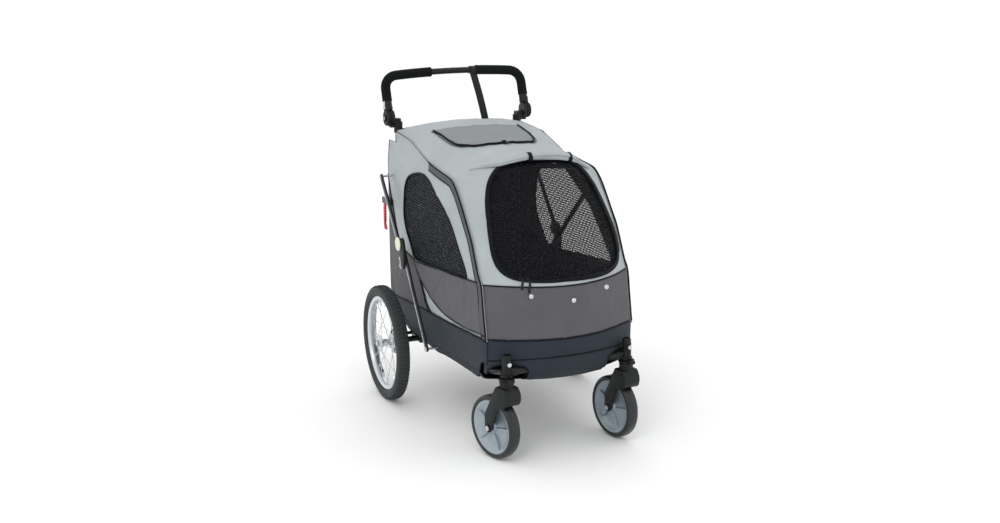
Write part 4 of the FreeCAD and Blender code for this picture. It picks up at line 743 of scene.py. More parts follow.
def cut_cloth(name, outline, place, finishes, body="base", holes=(), pitch=0.008, thick=0.0016,
              stands_for=()):
    """Cuts a sheet to a flat outline with holes, lays it in place and gives it its thickness; the flat
    metres of the cut are kept as the sheet's UV map."""
    flat = np.array([tuple(p) for p in outline])
    low, high = flat.min(axis=0) - pitch, flat.max(axis=0) + pitch
    across, up = (int(math.ceil(span / pitch)) for span in high - low)
    mesh = bmesh.new()
    bmesh.ops.create_grid(mesh, x_segments=across, y_segments=up, size=0.5)
    bmesh.ops.transform(mesh, verts=mesh.verts, matrix=Matrix.Translation((*((low + high) / 2), 0))
                        @ Matrix.Diagonal((high[0] - low[0], high[1] - low[1], 1, 1)))
    mids = np.array([tuple(f.calc_center_median())[:2] for f in mesh.faces])
    keep = inside(outline, mids)
    for hole in holes:
        keep &= ~inside(hole, mids)
    bmesh.ops.delete(mesh, geom=[f for f, k in zip(list(mesh.faces), keep) if not k], context="FACES")
    for v in [v for v in mesh.verts if v.is_boundary]:
        spot = np.array(v.co[:2])
        best = min((nearest(line, spot) for line in (outline, *holes)), key=lambda item: item[1])
        if best[1] < pitch * 1.6:
            v.co.x, v.co.y = best[0]
    area = sum(f.calc_area() for f in mesh.faces)
    uv = mesh.loops.layers.uv.new("flat_metres")
    for f in mesh.faces:
        for loop in f.loops:
            loop[uv].uv = loop.vert.co.xy
    spots = [v.co.copy() for v in mesh.verts]
    for v, spot in zip(mesh.verts, spots):
        v.co = place(spot.x, spot.y)
    made = settle(name, mesh, finishes, body, stands_for, sharp=60)
    if thick:
        wall = made.modifiers.new("cloth_thickness", "SOLIDIFY")
        wall.thickness, wall.offset = thick, 0.0
        wall.material_offset, wall.use_even_offset = (1 if len(finishes) > 1 else 0), True
    return made


def folds(p):
    """Slack of a sewn cover: broad soft hollows with finer creases between them, in metres."""
    broad = noise.noise(Vector((p.x * 5.2, p.y * 4.4, p.z * 5.0)) + Vector((3.1, 7.7, 1.3)))
    crease = 1.0 - abs(noise.noise(Vector((p.x * 11.0, p.y * 7.0, p.z * 9.0)) + Vector((9.2, 2.1, 5.5)))) * 2.2
    pull = noise.noise(Vector((p.x * 30.0, p.y * 24.0, p.z * 7.0)) + Vector((4.4, 8.1, 0.7)))
    return broad * 0.0046 + max(0.0, crease) ** 6 * 0.0022 + pull * 0.0008


def soft_fold(made):
    """Gives a cloth piece its own copy of its mesh."""
    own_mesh(made)
    return made


def wrap_place(lift=0.0, slack=1.0):
    def place(x, long):
        p = wrap(x, long)
        edge = min(1.0, max(0.0, (HALF - abs(x)) / 0.05))
        return wrap(x, long, lift + folds(p) * slack * edge)
    return place


# The window in the front of the hood, and the hatch in the roof, as flat outlines on the wrap.
window_seen = [(0.011, 0.562), (0.090, 0.5615), (0.150, 0.5635), (0.194, 0.574), (0.216, 0.596), (0.222, 0.628),
               (0.219, 0.672), (0.211, 0.722), (0.201, 0.768), (0.187, 0.806), (0.165, 0.840), (0.132, 0.863),
               (0.085, 0.878), (0.011, 0.885), (-0.058, 0.882), (-0.104, 0.872), (-0.140, 0.850), (-0.163, 0.820),
               (-0.179, 0.776), (-0.189, 0.728), (-0.197, 0.676), (-0.200, 0.628), (-0.194, 0.596),
               (-0.174, 0.574), (-0.134, 0.5635), (-0.070, 0.5615)]
window = smooth([(x, long_at(x, z, 5, 10)) for x, z in window_seen], 140)
hatch_seen = [(-0.158, 0.261), (-0.152, 0.205), (-0.146, 0.130), (-0.128, 0.072), (-0.092, 0.030), (-0.040, 0.012),
              (0.000, 0.009), (0.040, 0.012), (0.092, 0.030), (0.128, 0.072), (0.146, 0.130), (0.152, 0.205),
              (0.158, 0.261)]


def long_back(x, y):
    """Length round the wrap where the roof is at a distance back."""
    lengths = np.linspace(at_station(1), at_station(5.2), 120)
    backs = [wrap(x, length).y for length in lengths]
    return float(np.interp(-y, [-b for b in backs], lengths))


hatch = [(x, long_back(x, y)) for x, y in hatch_seen]
hatch_line = smooth(hatch, 80, closed=False)
hatch_middle = Vector((0.0, long_back(0.0, 0.136)))
hatch_opening = [tuple(hatch_middle + (p - hatch_middle) * 0.93) for p in hatch_line]
top_end, canopy_end, band_end, wrap_end = (at_station(n) for n in (0.92, 8.75, 10.0, 16.0))
notch = 0.213
canopy_outline = [(-notch, top_end), (notch, top_end), (notch, long_back(notch, 0.392)),
                  (HALF, long_back(HALF, 0.388)), (HALF, canopy_end), (-HALF, canopy_end),
                  (-HALF, long_back(HALF, 0.388)), (-notch, long_back(notch, 0.392))]


def straight(points, gap=0.01):
    """The same outline with extra points along its straight runs."""
    out = []
    for a, b in zip(points, points[1:] + points[:1]):
        count = max(1, int(math.dist(a, b) / gap))
        out += [tuple(Vector(a).lerp(Vector(b), k / count)) for k in range(count)]
    return out


canopy_cloth = cut_cloth("canopy_cover", straight(canopy_outline), wrap_place(0.0), [pale_cloth, lining],
                         holes=[window, hatch_opening], pitch=0.0075, stands_for=["canopy"])
soft_fold(canopy_cloth)
door_net = cut_cloth("front_door_mesh", window, wrap_place(-0.001, 0.6), [front_net], "front_door",
                     pitch=0.008, thick=0.0, stands_for=["front_door"])
soft_fold(door_net)
# The hatch flap in the darker grey cloth, whose darkness is painted shade.
hatch_flap = cut_cloth("roof_hatch_flap", straight([tuple(p) for p in hatch_line]), wrap_place(0.0042, 1.0),
                       [hatch_cloth_painted_shade, lining], "roof_hatch", pitch=0.0075,
                       stands_for=["roof_hatch"])
soft_fold(hatch_flap)
front_cloth = cut_cloth("front_panel_cover", straight([(-HALF, canopy_end), (HALF, canopy_end), (HALF, band_end),
                                                       (-HALF, band_end)]),
                        wrap_place(0.0, 1.3), [dark_cloth, lining], pitch=0.0075,
                        stands_for=["front_panel"])
soft_fold(front_cloth)

# Two flat sides, drawn in (y, z) on the planes of the seams; soft puff and folds push them outwards.
side_outline = [(0.483, 0.745), (0.430, 0.650), (0.365, 0.525), (0.300, 0.505), (0.187, 0.490), (0.155, 0.447),
                (0.120, 0.399), (0.086, 0.359), (0.050, 0.344), (-0.056, 0.351), (-0.168, 0.359),
                (-0.361, 0.378), (-0.405, 0.375), (-0.372, 0.542), (-0.350, 0.569), (-0.323, 0.620),
                (-0.295, 0.671), (-0.260, 0.713), (-0.225, 0.755), (-0.190, 0.793), (-0.152, 0.822),
                (-0.110, 0.834), (-0.040, 0.8405), (0.040, 0.8475), (0.069, 0.851), (0.100, 0.861),
                (0.240, 0.901), (0.330, 0.908), (0.388, 0.911), (0.388, 0.872), (0.463, 0.872), (0.474, 0.835),
                (0.482, 0.800)]
side_window = smooth([(0.299, 0.724), (0.283, 0.752), (0.250, 0.776), (0.196, 0.793), (0.135, 0.803),
                      (0.093, 0.799), (0.052, 0.785), (0.004, 0.761), (-0.050, 0.736), (-0.104, 0.706),
                      (-0.141, 0.673), (-0.177, 0.635), (-0.213, 0.597), (-0.249, 0.562), (-0.262, 0.540),
                      (-0.240, 0.531), (-0.174, 0.526), (-0.128, 0.524), (-0.033, 0.516), (0.057, 0.505),
                      (0.187, 0.499), (0.221, 0.513), (0.247, 0.542), (0.285, 0.578), (0.304, 0.619),
                      (0.307, 0.669)], 120)
pocket_outline = [(0.187, 0.493), (0.120, 0.498), (0.057, 0.504), (-0.033, 0.515), (-0.128, 0.524),
                  (-0.174, 0.529), (-0.266, 0.539), (-0.350, 0.548), (-0.372, 0.542), (-0.388, 0.460),
                  (-0.404, 0.391), (-0.361, 0.391), (-0.222, 0.377), (-0.113, 0.374), (0.001, 0.386),
                  (0.050, 0.399), (0.083, 0.413), (0.120, 0.430), (0.155, 0.447), (0.172, 0.470)]
quarter_outline = [(0.483, 0.745), (0.430, 0.650), (0.365, 0.525), (0.300, 0.505), (0.187, 0.493),
                   (0.155, 0.447), (0.120, 0.399), (0.086, 0.359), (0.050, 0.344), (0.167, 0.335),
                   (0.324, 0.319), (0.442, 0.3075), (0.478, 0.3075), (0.4865, 0.380), (0.485, 0.545)]
tub_outline = [(0.478, 0.3070), (0.442, 0.3070), (0.324, 0.3185), (0.167, 0.3345), (0.050, 0.3435),
               (-0.056, 0.3505), (-0.168, 0.3585), (-0.361, 0.3775), (-0.405, 0.3745), (-0.405, 0.306),
               (-0.366, 0.300), (-0.352, 0.275), (-0.344, 0.246), (-0.268, 0.2415), (-0.126, 0.234),
               (-0.041, 0.227), (0.010, 0.219), (0.122, 0.219), (0.300, 0.219), (0.449, 0.286)]


def side_place(sign, lift=0.0, slack=1.0, out=0.0):
    """Lays a flat side in the plane of its seams; it fills out softly towards the middle of its height."""
    def place(y, z):
        depth = nearest(side_shape, np.array((y, z)))[1]
        rise = (1.0 - math.exp(-depth / 0.05)) * 0.0045
        p = Vector((sign * (HALF + lift + out), y, z))
        p.x += sign * (rise + folds(p) * slack * min(1.0, depth / 0.03) - 0.003)
        return p
    return place


whole_side = [(0.483, 0.745), (0.4865, 0.545), (0.4865, 0.380), (0.478, 0.307), (0.449, 0.286), (0.300, 0.219),
              (0.010, 0.219), (-0.126, 0.234), (-0.344, 0.246), (-0.405, 0.306), (-0.405, 0.375),
              (-0.372, 0.542), (-0.295, 0.671), (-0.225, 0.755), (-0.152, 0.822), (0.069, 0.850),
              (0.240, 0.901), (0.388, 0.911), (0.463, 0.872), (0.482, 0.800)]
side_shape = straight(whole_side, 0.03)
for side, sign in SIDES:
    upper = cut_cloth(side + "_side_cover", straight(side_outline), side_place(sign), [pale_cloth, lining],
                      holes=[side_window], stands_for=[side + "_side_panel"])
    soft_fold(upper)
    soft_fold(cut_cloth(side + "_side_mesh", side_window, side_place(sign, -0.0015), [side_net],
                        thick=0.0))
    soft_fold(cut_cloth(side + "_pocket_cover", straight(pocket_outline), side_place(sign, 0.0032, 1.6),
                        [dark_cloth, lining]))
    soft_fold(cut_cloth(side + "_rear_quarter", straight(quarter_outline), side_place(sign, 0.0012, 1.2),
                        [dark_cloth, lining]))

# ---------------------------------------------------------------- tub
# The stiffened lower part: coated polyester over a foam-backed board, so it holds its shape, with
# cut-outs round the caster sockets.
front_low = long_at(0.0, 0.2475, 10, 11)
front_cut = long_at(0.0, 0.306, 10, 11)
tub_end = at_station(15.32)
arches = []
for sign in (-1.0, 1.0):
    first = [(sign * 0.135, at_station(11.13)), (sign * 0.135, front_cut + 0.022)]
    curve = [(sign * (0.190 + 0.055 * math.cos(a)), front_cut + 0.022 - 0.022 * math.sin(a))
             for a in np.linspace(math.pi, 0, 9)]
    last = [(sign * 0.2495, at_station(11.13))]
    arches.append(first + curve + last)
strip = straight([(-HALF, band_end), (HALF, band_end), (HALF, tub_end), (-HALF, tub_end)])
tub_wrap = cut_cloth("tub_cover", strip, wrap_place(0.0, 0.35), [tub_cloth, lining],
                     holes=arches, pitch=0.0075, thick=0.003, stands_for=["tub"])
for side, sign in SIDES:
    cut_cloth(side + "_tub_side", straight(tub_outline), side_place(sign, 0.0, 0.35), [tub_cloth, lining],
              thick=0.003)

# ---------------------------------------------------------------- rear panel
# Pale above, a dark grey pocket with a bound mouth below.
rear_change = at_station(16.0) + 0.165
rear_top = wrap_long[-1]
rear_dark = cut_cloth("rear_pocket_cover", straight([(-HALF, tub_end), (HALF, tub_end), (HALF, rear_change),
                                                     (-HALF, rear_change)]), wrap_place(0.0, 1.2),
                      [dark_cloth, lining], stands_for=["rear_panel"])
soft_fold(rear_dark)
rear_pale = cut_cloth("rear_upper_cover", straight([(-HALF, rear_change), (HALF, rear_change), (HALF, rear_top),
                                                    (-HALF, rear_top)]), wrap_place(0.0, 1.2),
                      [pale_cloth, lining])
soft_fold(rear_pale)
rear_crown = cut_cloth("rear_crown_cover", straight([(-HALF, 0.0), (HALF, 0.0), (HALF, at_station(0.78)),
                                                     (notch, at_station(0.78)), (notch, top_end + 0.006),
                                                     (-notch, top_end + 0.006), (-notch, at_station(0.78)),
                                                     (-HALF, at_station(0.78))]), wrap_place(0.0, 0.6),
                       [pale_cloth, lining])
soft_fold(rear_crown)


# ---------------------------------------------------------------- seams, bindings and trims
# Every cut edge is bound in black; a grey trim band runs down each front corner and a hemmed sleeve
# along each edge of the roof.
def bound(name, line, radius=0.0022, soft=True, closed=False, finish=piping):
    made = sewn_tube(name, line, radius, finish, "base", closed=closed, segments=2, order=3)
    return soft_fold(made) if soft else made


def on_side(sign, line, out, count=None, closed=False):
    place = side_place(sign, out)
    return [place(p[0], p[1]) for p in smooth(line, count or 8 * len(line), closed)]


def on_wrap(line, out, count=None, closed=False, slack=1.0):
    place = wrap_place(out, slack)
    return [place(p[0], p[1]) for p in smooth(line, count or 8 * len(line), closed)]


def ribbon(name, line, finish, side_a, side_b, place, thick=0.0016, edge=True, sew=0.0):
    """A narrow sewn tape along a flat line, given its thickness; edge and sew are not used."""
    path = smooth(line, 10 * len(line), closed=False)
    mesh = bmesh.new()
    uv = mesh.loops.layers.uv.new("flat_metres")
    rows, travel = [], 0.0
    for number, point in enumerate(path):
        ahead = (path[min(number + 1, len(path) - 1)] - path[max(number - 1, 0)]).normalized()
        travel += (point - path[number - 1]).length if number else 0.0
        across = Vector((-ahead.y, ahead.x))
        row = []
        for step in range(7):
            share = step / 6
            off = side_a + (side_b - side_a) * share
            spot = point + across * off
            v = mesh.verts.new(place(spot.x, spot.y))
            row.append((v, off, travel))
        rows.append(row)
    for a, b in zip(rows, rows[1:]):
        for k in range(6):
            face = mesh.faces.new((a[k][0], a[k + 1][0], b[k + 1][0], b[k][0]))
            for loop, item in zip(face.loops, (a[k], a[k + 1], b[k + 1], b[k])):
                loop[uv].uv = item[1:]
    flat_area = sum(f.calc_area() for f in mesh.faces)
    made = settle(name, mesh, finish, "base", sharp=60)
    wall = made.modifiers.new("tape_thickness", "SOLIDIFY")
    wall.thickness, wall.offset, wall.use_even_offset = thick, 0.0, True
    return soft_fold(made)


window_rim = bound("front_window_binding", on_wrap(window[::2], 0.0012, 70, True), 0.0030, closed=True)
for side, sign in SIDES:
    bound(side + "_side_window_binding", on_side(sign, side_window[::2], 0.0012, 60, True), 0.0024, closed=True)
    bound(side + "_tub_piping", on_side(sign, [(0.187, 0.493), (0.155, 0.447), (0.120, 0.399), (0.086, 0.359),
                                               (0.050, 0.3445), (-0.056, 0.3515), (-0.168, 0.3595),
                                               (-0.361, 0.3785), (-0.403, 0.3755)], 0.0040), 0.0030)
    bound(side + "_tub_rear_piping", on_side(sign, [(0.050, 0.344), (0.167, 0.335), (0.324, 0.319),
                                                    (0.442, 0.3075), (0.478, 0.3075)], 0.0026), 0.0024)
    bound(side + "_pocket_top_binding", on_side(sign, [(0.187, 0.493), (0.120, 0.498), (0.057, 0.504),
                                                       (-0.033, 0.515), (-0.128, 0.524), (-0.174, 0.529),
                                                       (-0.266, 0.539), (-0.350, 0.548)], 0.0052), 0.0018)
    bound(side + "_pocket_low_binding", on_side(sign, [(-0.402, 0.391), (-0.361, 0.391), (-0.222, 0.377),
                                                       (-0.113, 0.374), (0.001, 0.386), (0.083, 0.413),
                                                       (0.155, 0.447), (0.185, 0.490)], 0.0052), 0.0018)
    bound(side + "_quarter_binding", on_side(sign, [(0.482, 0.745), (0.430, 0.650), (0.365, 0.525),
                                                    (0.300, 0.505), (0.190, 0.493)], 0.0030), 0.0018)
    bound(side + "_tub_hem", on_side(sign, [(-0.405, 0.306), (-0.366, 0.300), (-0.352, 0.275), (-0.344, 0.247),
                                            (-0.268, 0.242), (-0.126, 0.234), (-0.041, 0.227), (0.010, 0.2195),
                                            (0.122, 0.2195), (0.300, 0.2195), (0.449, 0.286), (0.478, 0.307),
                                            (0.486, 0.380), (0.485, 0.545), (0.482, 0.745), (0.481, 0.800),
                                            (0.463, 0.870)], 0.0), 0.0022, soft=False)
    ribbon(side + "_corner_trim", [(0.057, 0.851), (-0.039, 0.8395), (-0.120, 0.832), (-0.152, 0.822),
                                   (-0.190, 0.793), (-0.225, 0.755), (-0.260, 0.713), (-0.295, 0.671),
                                   (-0.323, 0.620), (-0.350, 0.569), (-0.372, 0.540), (-0.388, 0.460),
                                   (-0.404, 0.380)], tape_cloth, 0.001, 0.024,
           side_place(sign, 0.0046, 0.4))
    for edge, off in (("outer", 0.0), ("inner", 0.0245)):
        shifted = []
        trace = smooth([(0.057, 0.851), (-0.039, 0.8395), (-0.120, 0.832), (-0.152, 0.822), (-0.190, 0.793),
                        (-0.225, 0.755), (-0.260, 0.713), (-0.295, 0.671), (-0.323, 0.620), (-0.350, 0.569),
                        (-0.372, 0.540), (-0.388, 0.460), (-0.404, 0.380)], 60, closed=False)
        for number, point in enumerate(trace):
            ahead = (trace[min(number + 1, 59)] - trace[max(number - 1, 0)]).normalized()
            shifted.append(side_place(sign, 0.0052, 0.4)(point.x - ahead.y * off, point.y + ahead.x * off))
        bound(side + "_trim_%s_piping" % edge, shifted, 0.0019 if off else 0.0026)
    bound(side + "_roof_edge_piping", [wrap_place(0.0006)(sign * 0.2465, long)
                                       for long in np.linspace(long_back(HALF, 0.386), at_station(3.98), 26)],
          0.0022)

# Front band: seams, two rows of piping on the tub, and the hem.
for name, long, radius, half in (("front_top_seam", canopy_end, 0.0022, 0.246), ("front_low_seam", band_end, 0.0028, 0.248)):
    bound(name, [wrap_place(0.0014)(x, long) for x in np.linspace(-half, half, 40)], radius, soft=name == "front_top_seam")
bound("front_tub_seam", [wrap_place(0.0018)(x, long_at(x, 0.326 - 0.010 * (x / 0.25) ** 2, 10, 11))
                         for x in np.linspace(-0.245, 0.245, 40)], 0.0024, soft=False)
for number, arch in enumerate(arches):
    bound("socket_arch_piping_%d" % number, [wrap_place(0.0014)(x, l) for x, l in arch[:-1]], 0.0024, soft=False)
bound("front_hem", [wrap_place(0.001)(x, front_low) for x in np.linspace(-0.128, 0.128, 24)], 0.0026, soft=False)
bound("roof_rear_piping", [wrap_place(0.0016)(x, top_end + 0.003) for x in np.linspace(-0.211, 0.211, 40)], 0.0034)
bound("rear_pocket_binding", [wrap_place(0.0022)(x, rear_change) for x in np.linspace(-0.247, 0.247, 40)], 0.0032)

# ---------------------------------------------------------------- roof hatch details
# Coil zip sewn round three sides of the flap, and a pull strap with a moulded end.
zip_line = smooth([(-0.158, long_back(-0.158, 0.261)), (-0.155, long_back(-0.155, 0.205)),
                   (-0.149, long_back(-0.149, 0.130)), (-0.131, long_back(-0.131, 0.069)),
                   (-0.094, long_back(-0.094, 0.026)), (-0.040, long_back(-0.040, 0.008)),
                   (0.000, long_back(0, 0.005)), (0.040, long_back(0.040, 0.008)), (0.094, long_back(0.094, 0.026)),
                   (0.131, long_back(0.131, 0.069)), (0.149, long_back(0.149, 0.130)),
                   (0.155, long_back(0.155, 0.205)), (0.158, long_back(0.158, 0.261))], 110, closed=False)


hatch_zip = sewn_tube("hatch_zip_coil", [wrap_place(0.0054)(p[0], p[1]) for p in zip_line], 0.0036, piping,
                      "roof_hatch", segments=3, order=3)
soft_fold(hatch_zip)
for offset in (-0.008, 0.008):
    row = []
    for number, point in enumerate(zip_line):
        ahead = (zip_line[min(number + 1, 109)] - zip_line[max(number - 1, 0)]).normalized()
        row.append(wrap_place(0.0040)(point.x - ahead.y * offset, point.y + ahead.x * offset))
    soft_fold(sewn_tube("hatch_zip_edge_%d" % (1 if offset > 0 else 2), row, 0.0011, piping,
                        "roof_hatch", segments=1, order=3))
# The flap's hem along the hinge line, and the pull strap at its front.
soft_fold(sewn_tube("hatch_hinge_seam", [wrap_place(0.0022)(x, long_back(x, 0.266))
                                         for x in np.linspace(-0.157, 0.157, 30)], 0.0018, piping,
                    "base", segments=2, order=3))
slider = bmesh.new()
for spot, size in (((-0.006, 0.010, 0.008), (0.010, 0.018, 0.006)), ((-0.006, -0.014, 0.006), (0.008, 0.030, 0.003))):
    place = wrap_place(spot[2] + 0.002)(spot[0], long_back(spot[0], spot[1]))
    block = bmesh.ops.create_cube(slider, size=1.0, matrix=Matrix.Translation(place)
                                  @ Matrix.Rotation(-0.12, 4, "X") @ Matrix.Diagonal((*size, 1)))["verts"]
    bmesh.ops.bevel(slider, geom=list({e for v in block for e in v.link_edges}), offset=0.0012, affect="EDGES",
                    segments=2, profile=0.5, material=-1)
soft_fold(settle("hatch_zip_slider", slider, black_nylon, "roof_hatch"))

# ---------------------------------------------------------------- front window details
# A dark gusset with the zip runs round the mesh door, wider up the left and over the top; the sliders
# park at the bottom right corner.
for name, near, far, lift in (("front_zip_gusset", -0.002, 0.014, 0.0022),):
    mesh = bmesh.new()
    uv = mesh.loops.layers.uv.new("flat_metres")
    middle = Vector((0.011, sum(p[1] for p in window) / len(window)))
    rows, travel = [], 0.0
    ring = [Vector(p) for p in window]
    for number, point in enumerate(ring):
        ahead = (ring[(number + 1) % len(ring)] - ring[number - 1]).normalized()
        across = Vector((ahead.y, -ahead.x))
        if (point + across * 0.01 - middle).length < (point - middle).length:
            across = -across
        width = 0.0085 + 0.0075 * max(0.0, min(1.0, (point.x + 0.03) / 0.12)) * (1.0 if point.y < long_at(0, 0.60, 5, 10) else 0.35)
        travel += (point - ring[number - 1]).length if number else 0.0
        rows.append([(mesh.verts.new(wrap_place(lift + 0.0012 * math.sin(math.pi * k / 4))(
            *(point + across * (near + (width - near) * k / 4)))), near + (width - near) * k / 4, travel)
            for k in range(5)])
    for a, b in zip(rows, rows[1:] + rows[:1]):
        for k in range(4):
            face = mesh.faces.new((a[k][0], a[k + 1][0], b[k + 1][0], b[k][0]))
            for loop, item in zip(face.loops, (a[k], a[k + 1], b[k + 1], b[k])):
                loop[uv].uv = item[1:]
    flat_area = sum(f.calc_area() for f in mesh.faces)
    gusset = settle(name, mesh, [lining], "base", sharp=60)
    wall = gusset.modifiers.new("cloth_thickness", "SOLIDIFY")
    wall.thickness, wall.offset = 0.0016, 0.0
    soft_fold(gusset)
zip_teeth = [wrap_place(0.0038)(*p) for p in window[::2]]
bound("front_zip_coil", zip_teeth, 0.0020, closed=True)
pulls = bmesh.new()
for x, level, tip in ((-0.150, 0.566, 0.034), (-0.132, 0.563, 0.038)):
    long = long_at(x, level, 5, 10)
    for lift, drop, size in ((0.0065, 0.0, (0.009, 0.0055, 0.014)), (0.0085, tip * 0.55, (0.0075, 0.0028, tip))):
        place = wrap_place(lift)(x, long + drop)
        block = bmesh.ops.create_cube(pulls, size=1.0, matrix=Matrix.Translation(place)
                                      @ Matrix.Rotation(0.10, 4, "Y") @ Matrix.Diagonal((*size, 1)))["verts"]
        bmesh.ops.bevel(pulls, geom=list({e for v in block for e in v.link_edges}), offset=0.0011, affect="EDGES",
                        segments=2, profile=0.5, material=-1)
soft_fold(settle("front_zip_pulls", pulls, black_nylon, "base"))
# Press studs on the front band, with a rolled rim and a domed cap, and a rivet by each tub seam.
studs = bmesh.new()
for x, level in ((0.0, 0.500), (-0.128, 0.519), (0.128, 0.519)):
    long = long_at(x, level, 9, 10.4)
    face = wrap_place(0.0032)(x, long)
    out = (wrap(x, long, 0.02) - wrap(x, long)).normalized()
    turn(studs, [(0.0, 0.0078), (0.0012, 0.0078), (0.0020, 0.0070), (0.0016, 0.0060), (0.0026, 0.0050),
                 (0.0034, 0.0030), (0.0037, 0.0)],
         Matrix.Translation(face) @ out.to_track_quat("X", "Z").to_matrix().to_4x4(), steps=28, closed=False)
soft_fold(settle("front_press_studs", studs, plated_steel_and_painted_highlight, "base"))
for side, sign in SIDES:
    rivet = bmesh.new()
    turn(rivet, [(0.0, 0.0062), (0.0010, 0.0062), (0.0024, 0.0044), (0.0030, 0.0)],
         Matrix.Translation(side_place(sign, 0.003)(0.174, 0.310)) @ Matrix.Rotation(0.0 if sign > 0 else math.pi, 4, "Z"),
         steps=24, closed=False)
    settle(side + "_tub_rivet", rivet, plated_steel_and_painted_highlight, "base")

# ---------------------------------------------------------------- rolled front cover
# The weather flap of the window, rolled up above it and held by two loops; its free corner tapers off
# towards the right and hangs in a soft fold.
roll_left, roll_right = 0.205, -0.196
mesh = bmesh.new()
uv = mesh.loops.layers.uv.new("flat_metres")
rows, count, around_count, turns = [], 84, 64, 2.4
for number in range(count + 1):
    share = number / count
    x = roll_left + (roll_right - roll_left) * share
    thick = np.interp(x, [roll_right, -0.140, -0.080, -0.042, -0.015, 0.060, 0.125, 0.145, 0.170, roll_left],
                      [0.0035, 0.0085, 0.0120, 0.0145, 0.0165, 0.0180, 0.0170, 0.0125, 0.0080, 0.0040])
    base_long = at_station(5.0) + np.interp(x, [roll_right, -0.12, -0.04, 0.10, 0.15, roll_left],
                                            [-0.020, 0.004, 0.0, 0.002, 0.006, 0.030])
    centre = wrap(x, base_long, 0.003 + thick * 0.82)
    ahead = Vector((1, 0, 0))
    normal = (wrap(x, base_long, 0.02) - wrap(x, base_long)).normalized()
    side_way = normal.cross(ahead).normalized()
    row = []
    for step in range(around_count):
        angle = 2 * math.pi * turns * step / (around_count - 1)
        once = angle % (2 * math.pi)
        layer = 1.0 + 0.08 * math.sin(once * 3.0 + x * 22.0) + 0.14 * noise.noise(
            Vector((x * 16, math.sin(once), math.cos(once))))
        layer *= 0.40 + 0.60 * step / (around_count - 1)
        pinch = 1.0 - 0.24 * (math.exp(-((x - 0.125) / 0.010) ** 2) + math.exp(-((x + 0.022) / 0.010) ** 2))
        r = thick * layer * pinch
        spot = centre + normal * (math.sin(angle) * r * 0.86) + side_way * (math.cos(angle) * r * 1.14)
        row.append((mesh.verts.new(spot), angle * thick * 0.7, share * 0.42))
    rows.append(row)
for a, b in zip(rows, rows[1:]):
    for k in range(around_count - 1):
        face = mesh.faces.new((a[k][0], a[k + 1][0], b[k + 1][0], b[k][0]))
        for loop, item in zip(face.loops, (a[k], a[k + 1], b[k + 1], b[k])):
            loop[uv].uv = item[1:]
roll_area = sum(f.calc_area() for f in mesh.faces)
roll = settle("rolled_front_cover", mesh, pale_cloth, "base", sharp=60)
wall = roll.modifiers.new("cloth_thickness", "SOLIDIFY")
wall.thickness, wall.offset = 0.0009, 0.0
soft_fold(roll)
for number, x in enumerate((0.125, -0.022)):
    band = bmesh.new()
    long = at_station(5.0) + 0.001
    normal = (wrap(x, long, 0.02) - wrap(x, long)).normalized()
    side_way = normal.cross(Vector((1, 0, 0))).normalized()
    thick = 0.0150 if number == 0 else 0.0142
    hold = wrap(x, long, 0.003 + thick * 0.82)
    rings = []
    for step in range(37):
        angle = 2 * math.pi * step / 36
        for_width = []
        for width in (-0.0065, -0.0055, 0.0055, 0.0065):
            lift = 0.0016 if abs(width) < 0.006 else 0.0004
            r = thick * 0.93 + lift
            for_width.append(band.verts.new(hold + Vector((width, 0, 0)) + normal * (math.sin(angle) * r * 0.90)
                                            + side_way * (math.cos(angle) * r * 1.16)))
        rings.append(for_width)
    for a, b in zip(rings, rings[1:]):
        for k in range(3):
            band.faces.new((a[k], a[k + 1], b[k + 1], b[k]))
    loop_piece = settle("roll_loop_%d" % (number + 1), band, piping, "base", sharp=60)
    wall = loop_piece.modifiers.new("webbing_thickness", "SOLIDIFY")
    wall.thickness, wall.offset = 0.0012, 0.0
    soft_fold(loop_piece)

# ---------------------------------------------------------------- handle strap
# Woven nylon webbing looped round the bar with a sewn end, and run down to the rear roof arch.
webbing = cloth("black_nylon_webbing", "#15171A", "#1B1E21", "#0F1113", rough=0.6, weave=0.0032, lift=0.0004)
mesh = bmesh.new()
uv = mesh.loops.layers.uv.new("flat_metres")
bar = on_bar(0.075, math.sqrt(3.039 ** 2 - 0.075 ** 2) - 2.8823)
path = [bar + Vector((0, math.cos(a) * 0.0135, math.sin(a) * 0.0135)) for a in np.linspace(-1.2, 4.1, 22)]
low = Vector((0.118, 0.4500, 0.9130))
start = path[-1]
path += [start.lerp(low, t) + Vector((0, -0.006 * math.sin(math.pi * t), 0)) for t in np.linspace(0.06, 1.0, 22)]
path += [Vector((0.119, 0.4395, 0.9085)), Vector((0.1195, 0.4320, 0.9080))]
rows, travel = [], 0.0
for number, point in enumerate(path):
    ahead = (path[min(number + 1, len(path) - 1)] - path[max(number - 1, 0)]).normalized()
    across = Vector((1, 0, 0)) - ahead * ahead.x
    across.normalize()
    travel += (point - path[number - 1]).length if number else 0.0
    rows.append([(mesh.verts.new(point + across * off), off, travel) for off in (-0.013, -0.0065, 0.0, 0.0065, 0.013)])
for a, b in zip(rows, rows[1:]):
    for k in range(4):
        face = mesh.faces.new((a[k][0], a[k + 1][0], b[k + 1][0], b[k][0]))
        for loop, item in zip(face.loops, (a[k], a[k + 1], b[k + 1], b[k])):
            loop[uv].uv = item[1:]
data_area = sum(f.calc_area() for f in mesh.faces)
bmesh.ops.recalc_face_normals(mesh, faces=mesh.faces)
data = bpy.data.meshes.new("handle_strap_webbing")
mesh.to_mesh(data)
mesh.free()
data.materials.append(webbing)
data.shade_smooth()
strap = bpy.data.objects.new("handle_strap_webbing", data)
bpy.context.scene.collection.objects.link(strap)
wall = strap.modifiers.new("webbing_thickness", "SOLIDIFY")
wall.thickness, wall.offset = 0.0018, 0.0
tuple(start)
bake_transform(strap)
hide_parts("handle_strap")

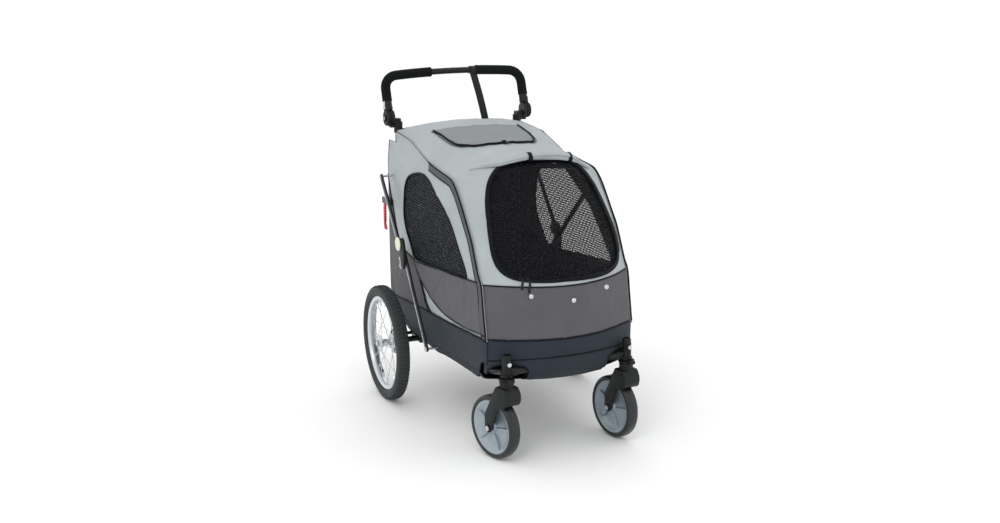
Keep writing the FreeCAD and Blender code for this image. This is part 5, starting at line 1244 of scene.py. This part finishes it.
# ---------------------------------------------------------------- floor cushion
# A polyester fleece pad over foam, quilted in squares, lying on the floor board.
fleece = cloth("grey_quilted_fleece", "#6E7274", "#7A7E80", "#5F6365", rough=0.9, weave=0.0060, lift=0.0008)
mesh = bmesh.new()
bmesh.ops.create_cube(mesh, size=1.0, matrix=Matrix.Translation((0, -0.015, 0.2935))
                      @ Matrix.Diagonal((0.374, 0.792, 0.027, 1)))
bmesh.ops.subdivide_edges(mesh, edges=[e for e in mesh.edges if abs(e.verts[0].co.z - e.verts[1].co.z) < 1e-6
                                       and abs(e.verts[0].co.x - e.verts[1].co.x) > 0.01],
                          cuts=47, use_grid_fill=True)
bmesh.ops.subdivide_edges(mesh, edges=[e for e in mesh.edges if abs(e.verts[0].co.y - e.verts[1].co.y) > 0.5],
                          cuts=95, use_grid_fill=True)
bmesh.ops.subdivide_edges(mesh, edges=[e for e in mesh.edges if abs(e.verts[0].co.z - e.verts[1].co.z) > 0.02],
                          cuts=5, use_grid_fill=True)
uv = mesh.loops.layers.uv.new("flat_metres")
for f in mesh.faces:
    for loop in f.loops:
        loop[uv].uv = loop.vert.co.xy
bmesh.ops.recalc_face_normals(mesh, faces=mesh.faces)
data = bpy.data.meshes.new("floor_cushion_pad")
mesh.to_mesh(data)
mesh.free()
data.materials.append(fleece)
pad = bpy.data.objects.new("floor_cushion_pad", data)
bpy.context.scene.collection.objects.link(pad)
cells = pad.modifiers.new("even_cells", "REMESH")
cells.mode, cells.voxel_size = "VOXEL", 0.006
bpy.context.view_layer.update()
even = bpy.data.meshes.new_from_object(pad.evaluated_get(bpy.context.evaluated_depsgraph_get()))
pad.modifiers.clear()
pad.data = even
rest = [v.co.copy() for v in even.vertices]
press = pad.modifiers.new("filling_pressure", "CLOTH")
press.settings.use_pressure, press.settings.uniform_pressure_force = True, 4.0
press.settings.effector_weights.gravity = 0.0
for step in range(1, 21):
    bpy.context.scene.frame_set(step)
swollen = bpy.data.meshes.new_from_object(pad.evaluated_get(bpy.context.evaluated_depsgraph_get()))
pad.modifiers.clear()
for vertex, start_co in zip(swollen.vertices, rest):
    moved = vertex.co - start_co
    if moved.length > 0.006:
        vertex.co = start_co + moved.normalized() * 0.006
pad.data = swollen
bpy.context.scene.frame_set(1)
pad.data.materials.clear()
pad.data.materials.append(fleece)
for vertex in pad.data.vertices:  # sewn channels pull the top in along a grid; the underside lies flat
    co = vertex.co
    if co.z > 0.290:
        near = min(abs((co.x / 0.095) % 1.0 - 0.5) * 0.095, abs((co.y / 0.090) % 1.0 - 0.5) * 0.090)
        co.z -= 0.0075 * math.exp(-(near / 0.0075) ** 2)
    co.z = max(co.z, 0.2795)
pad.data.shade_smooth()
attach(pad, "base")
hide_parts("cushion")
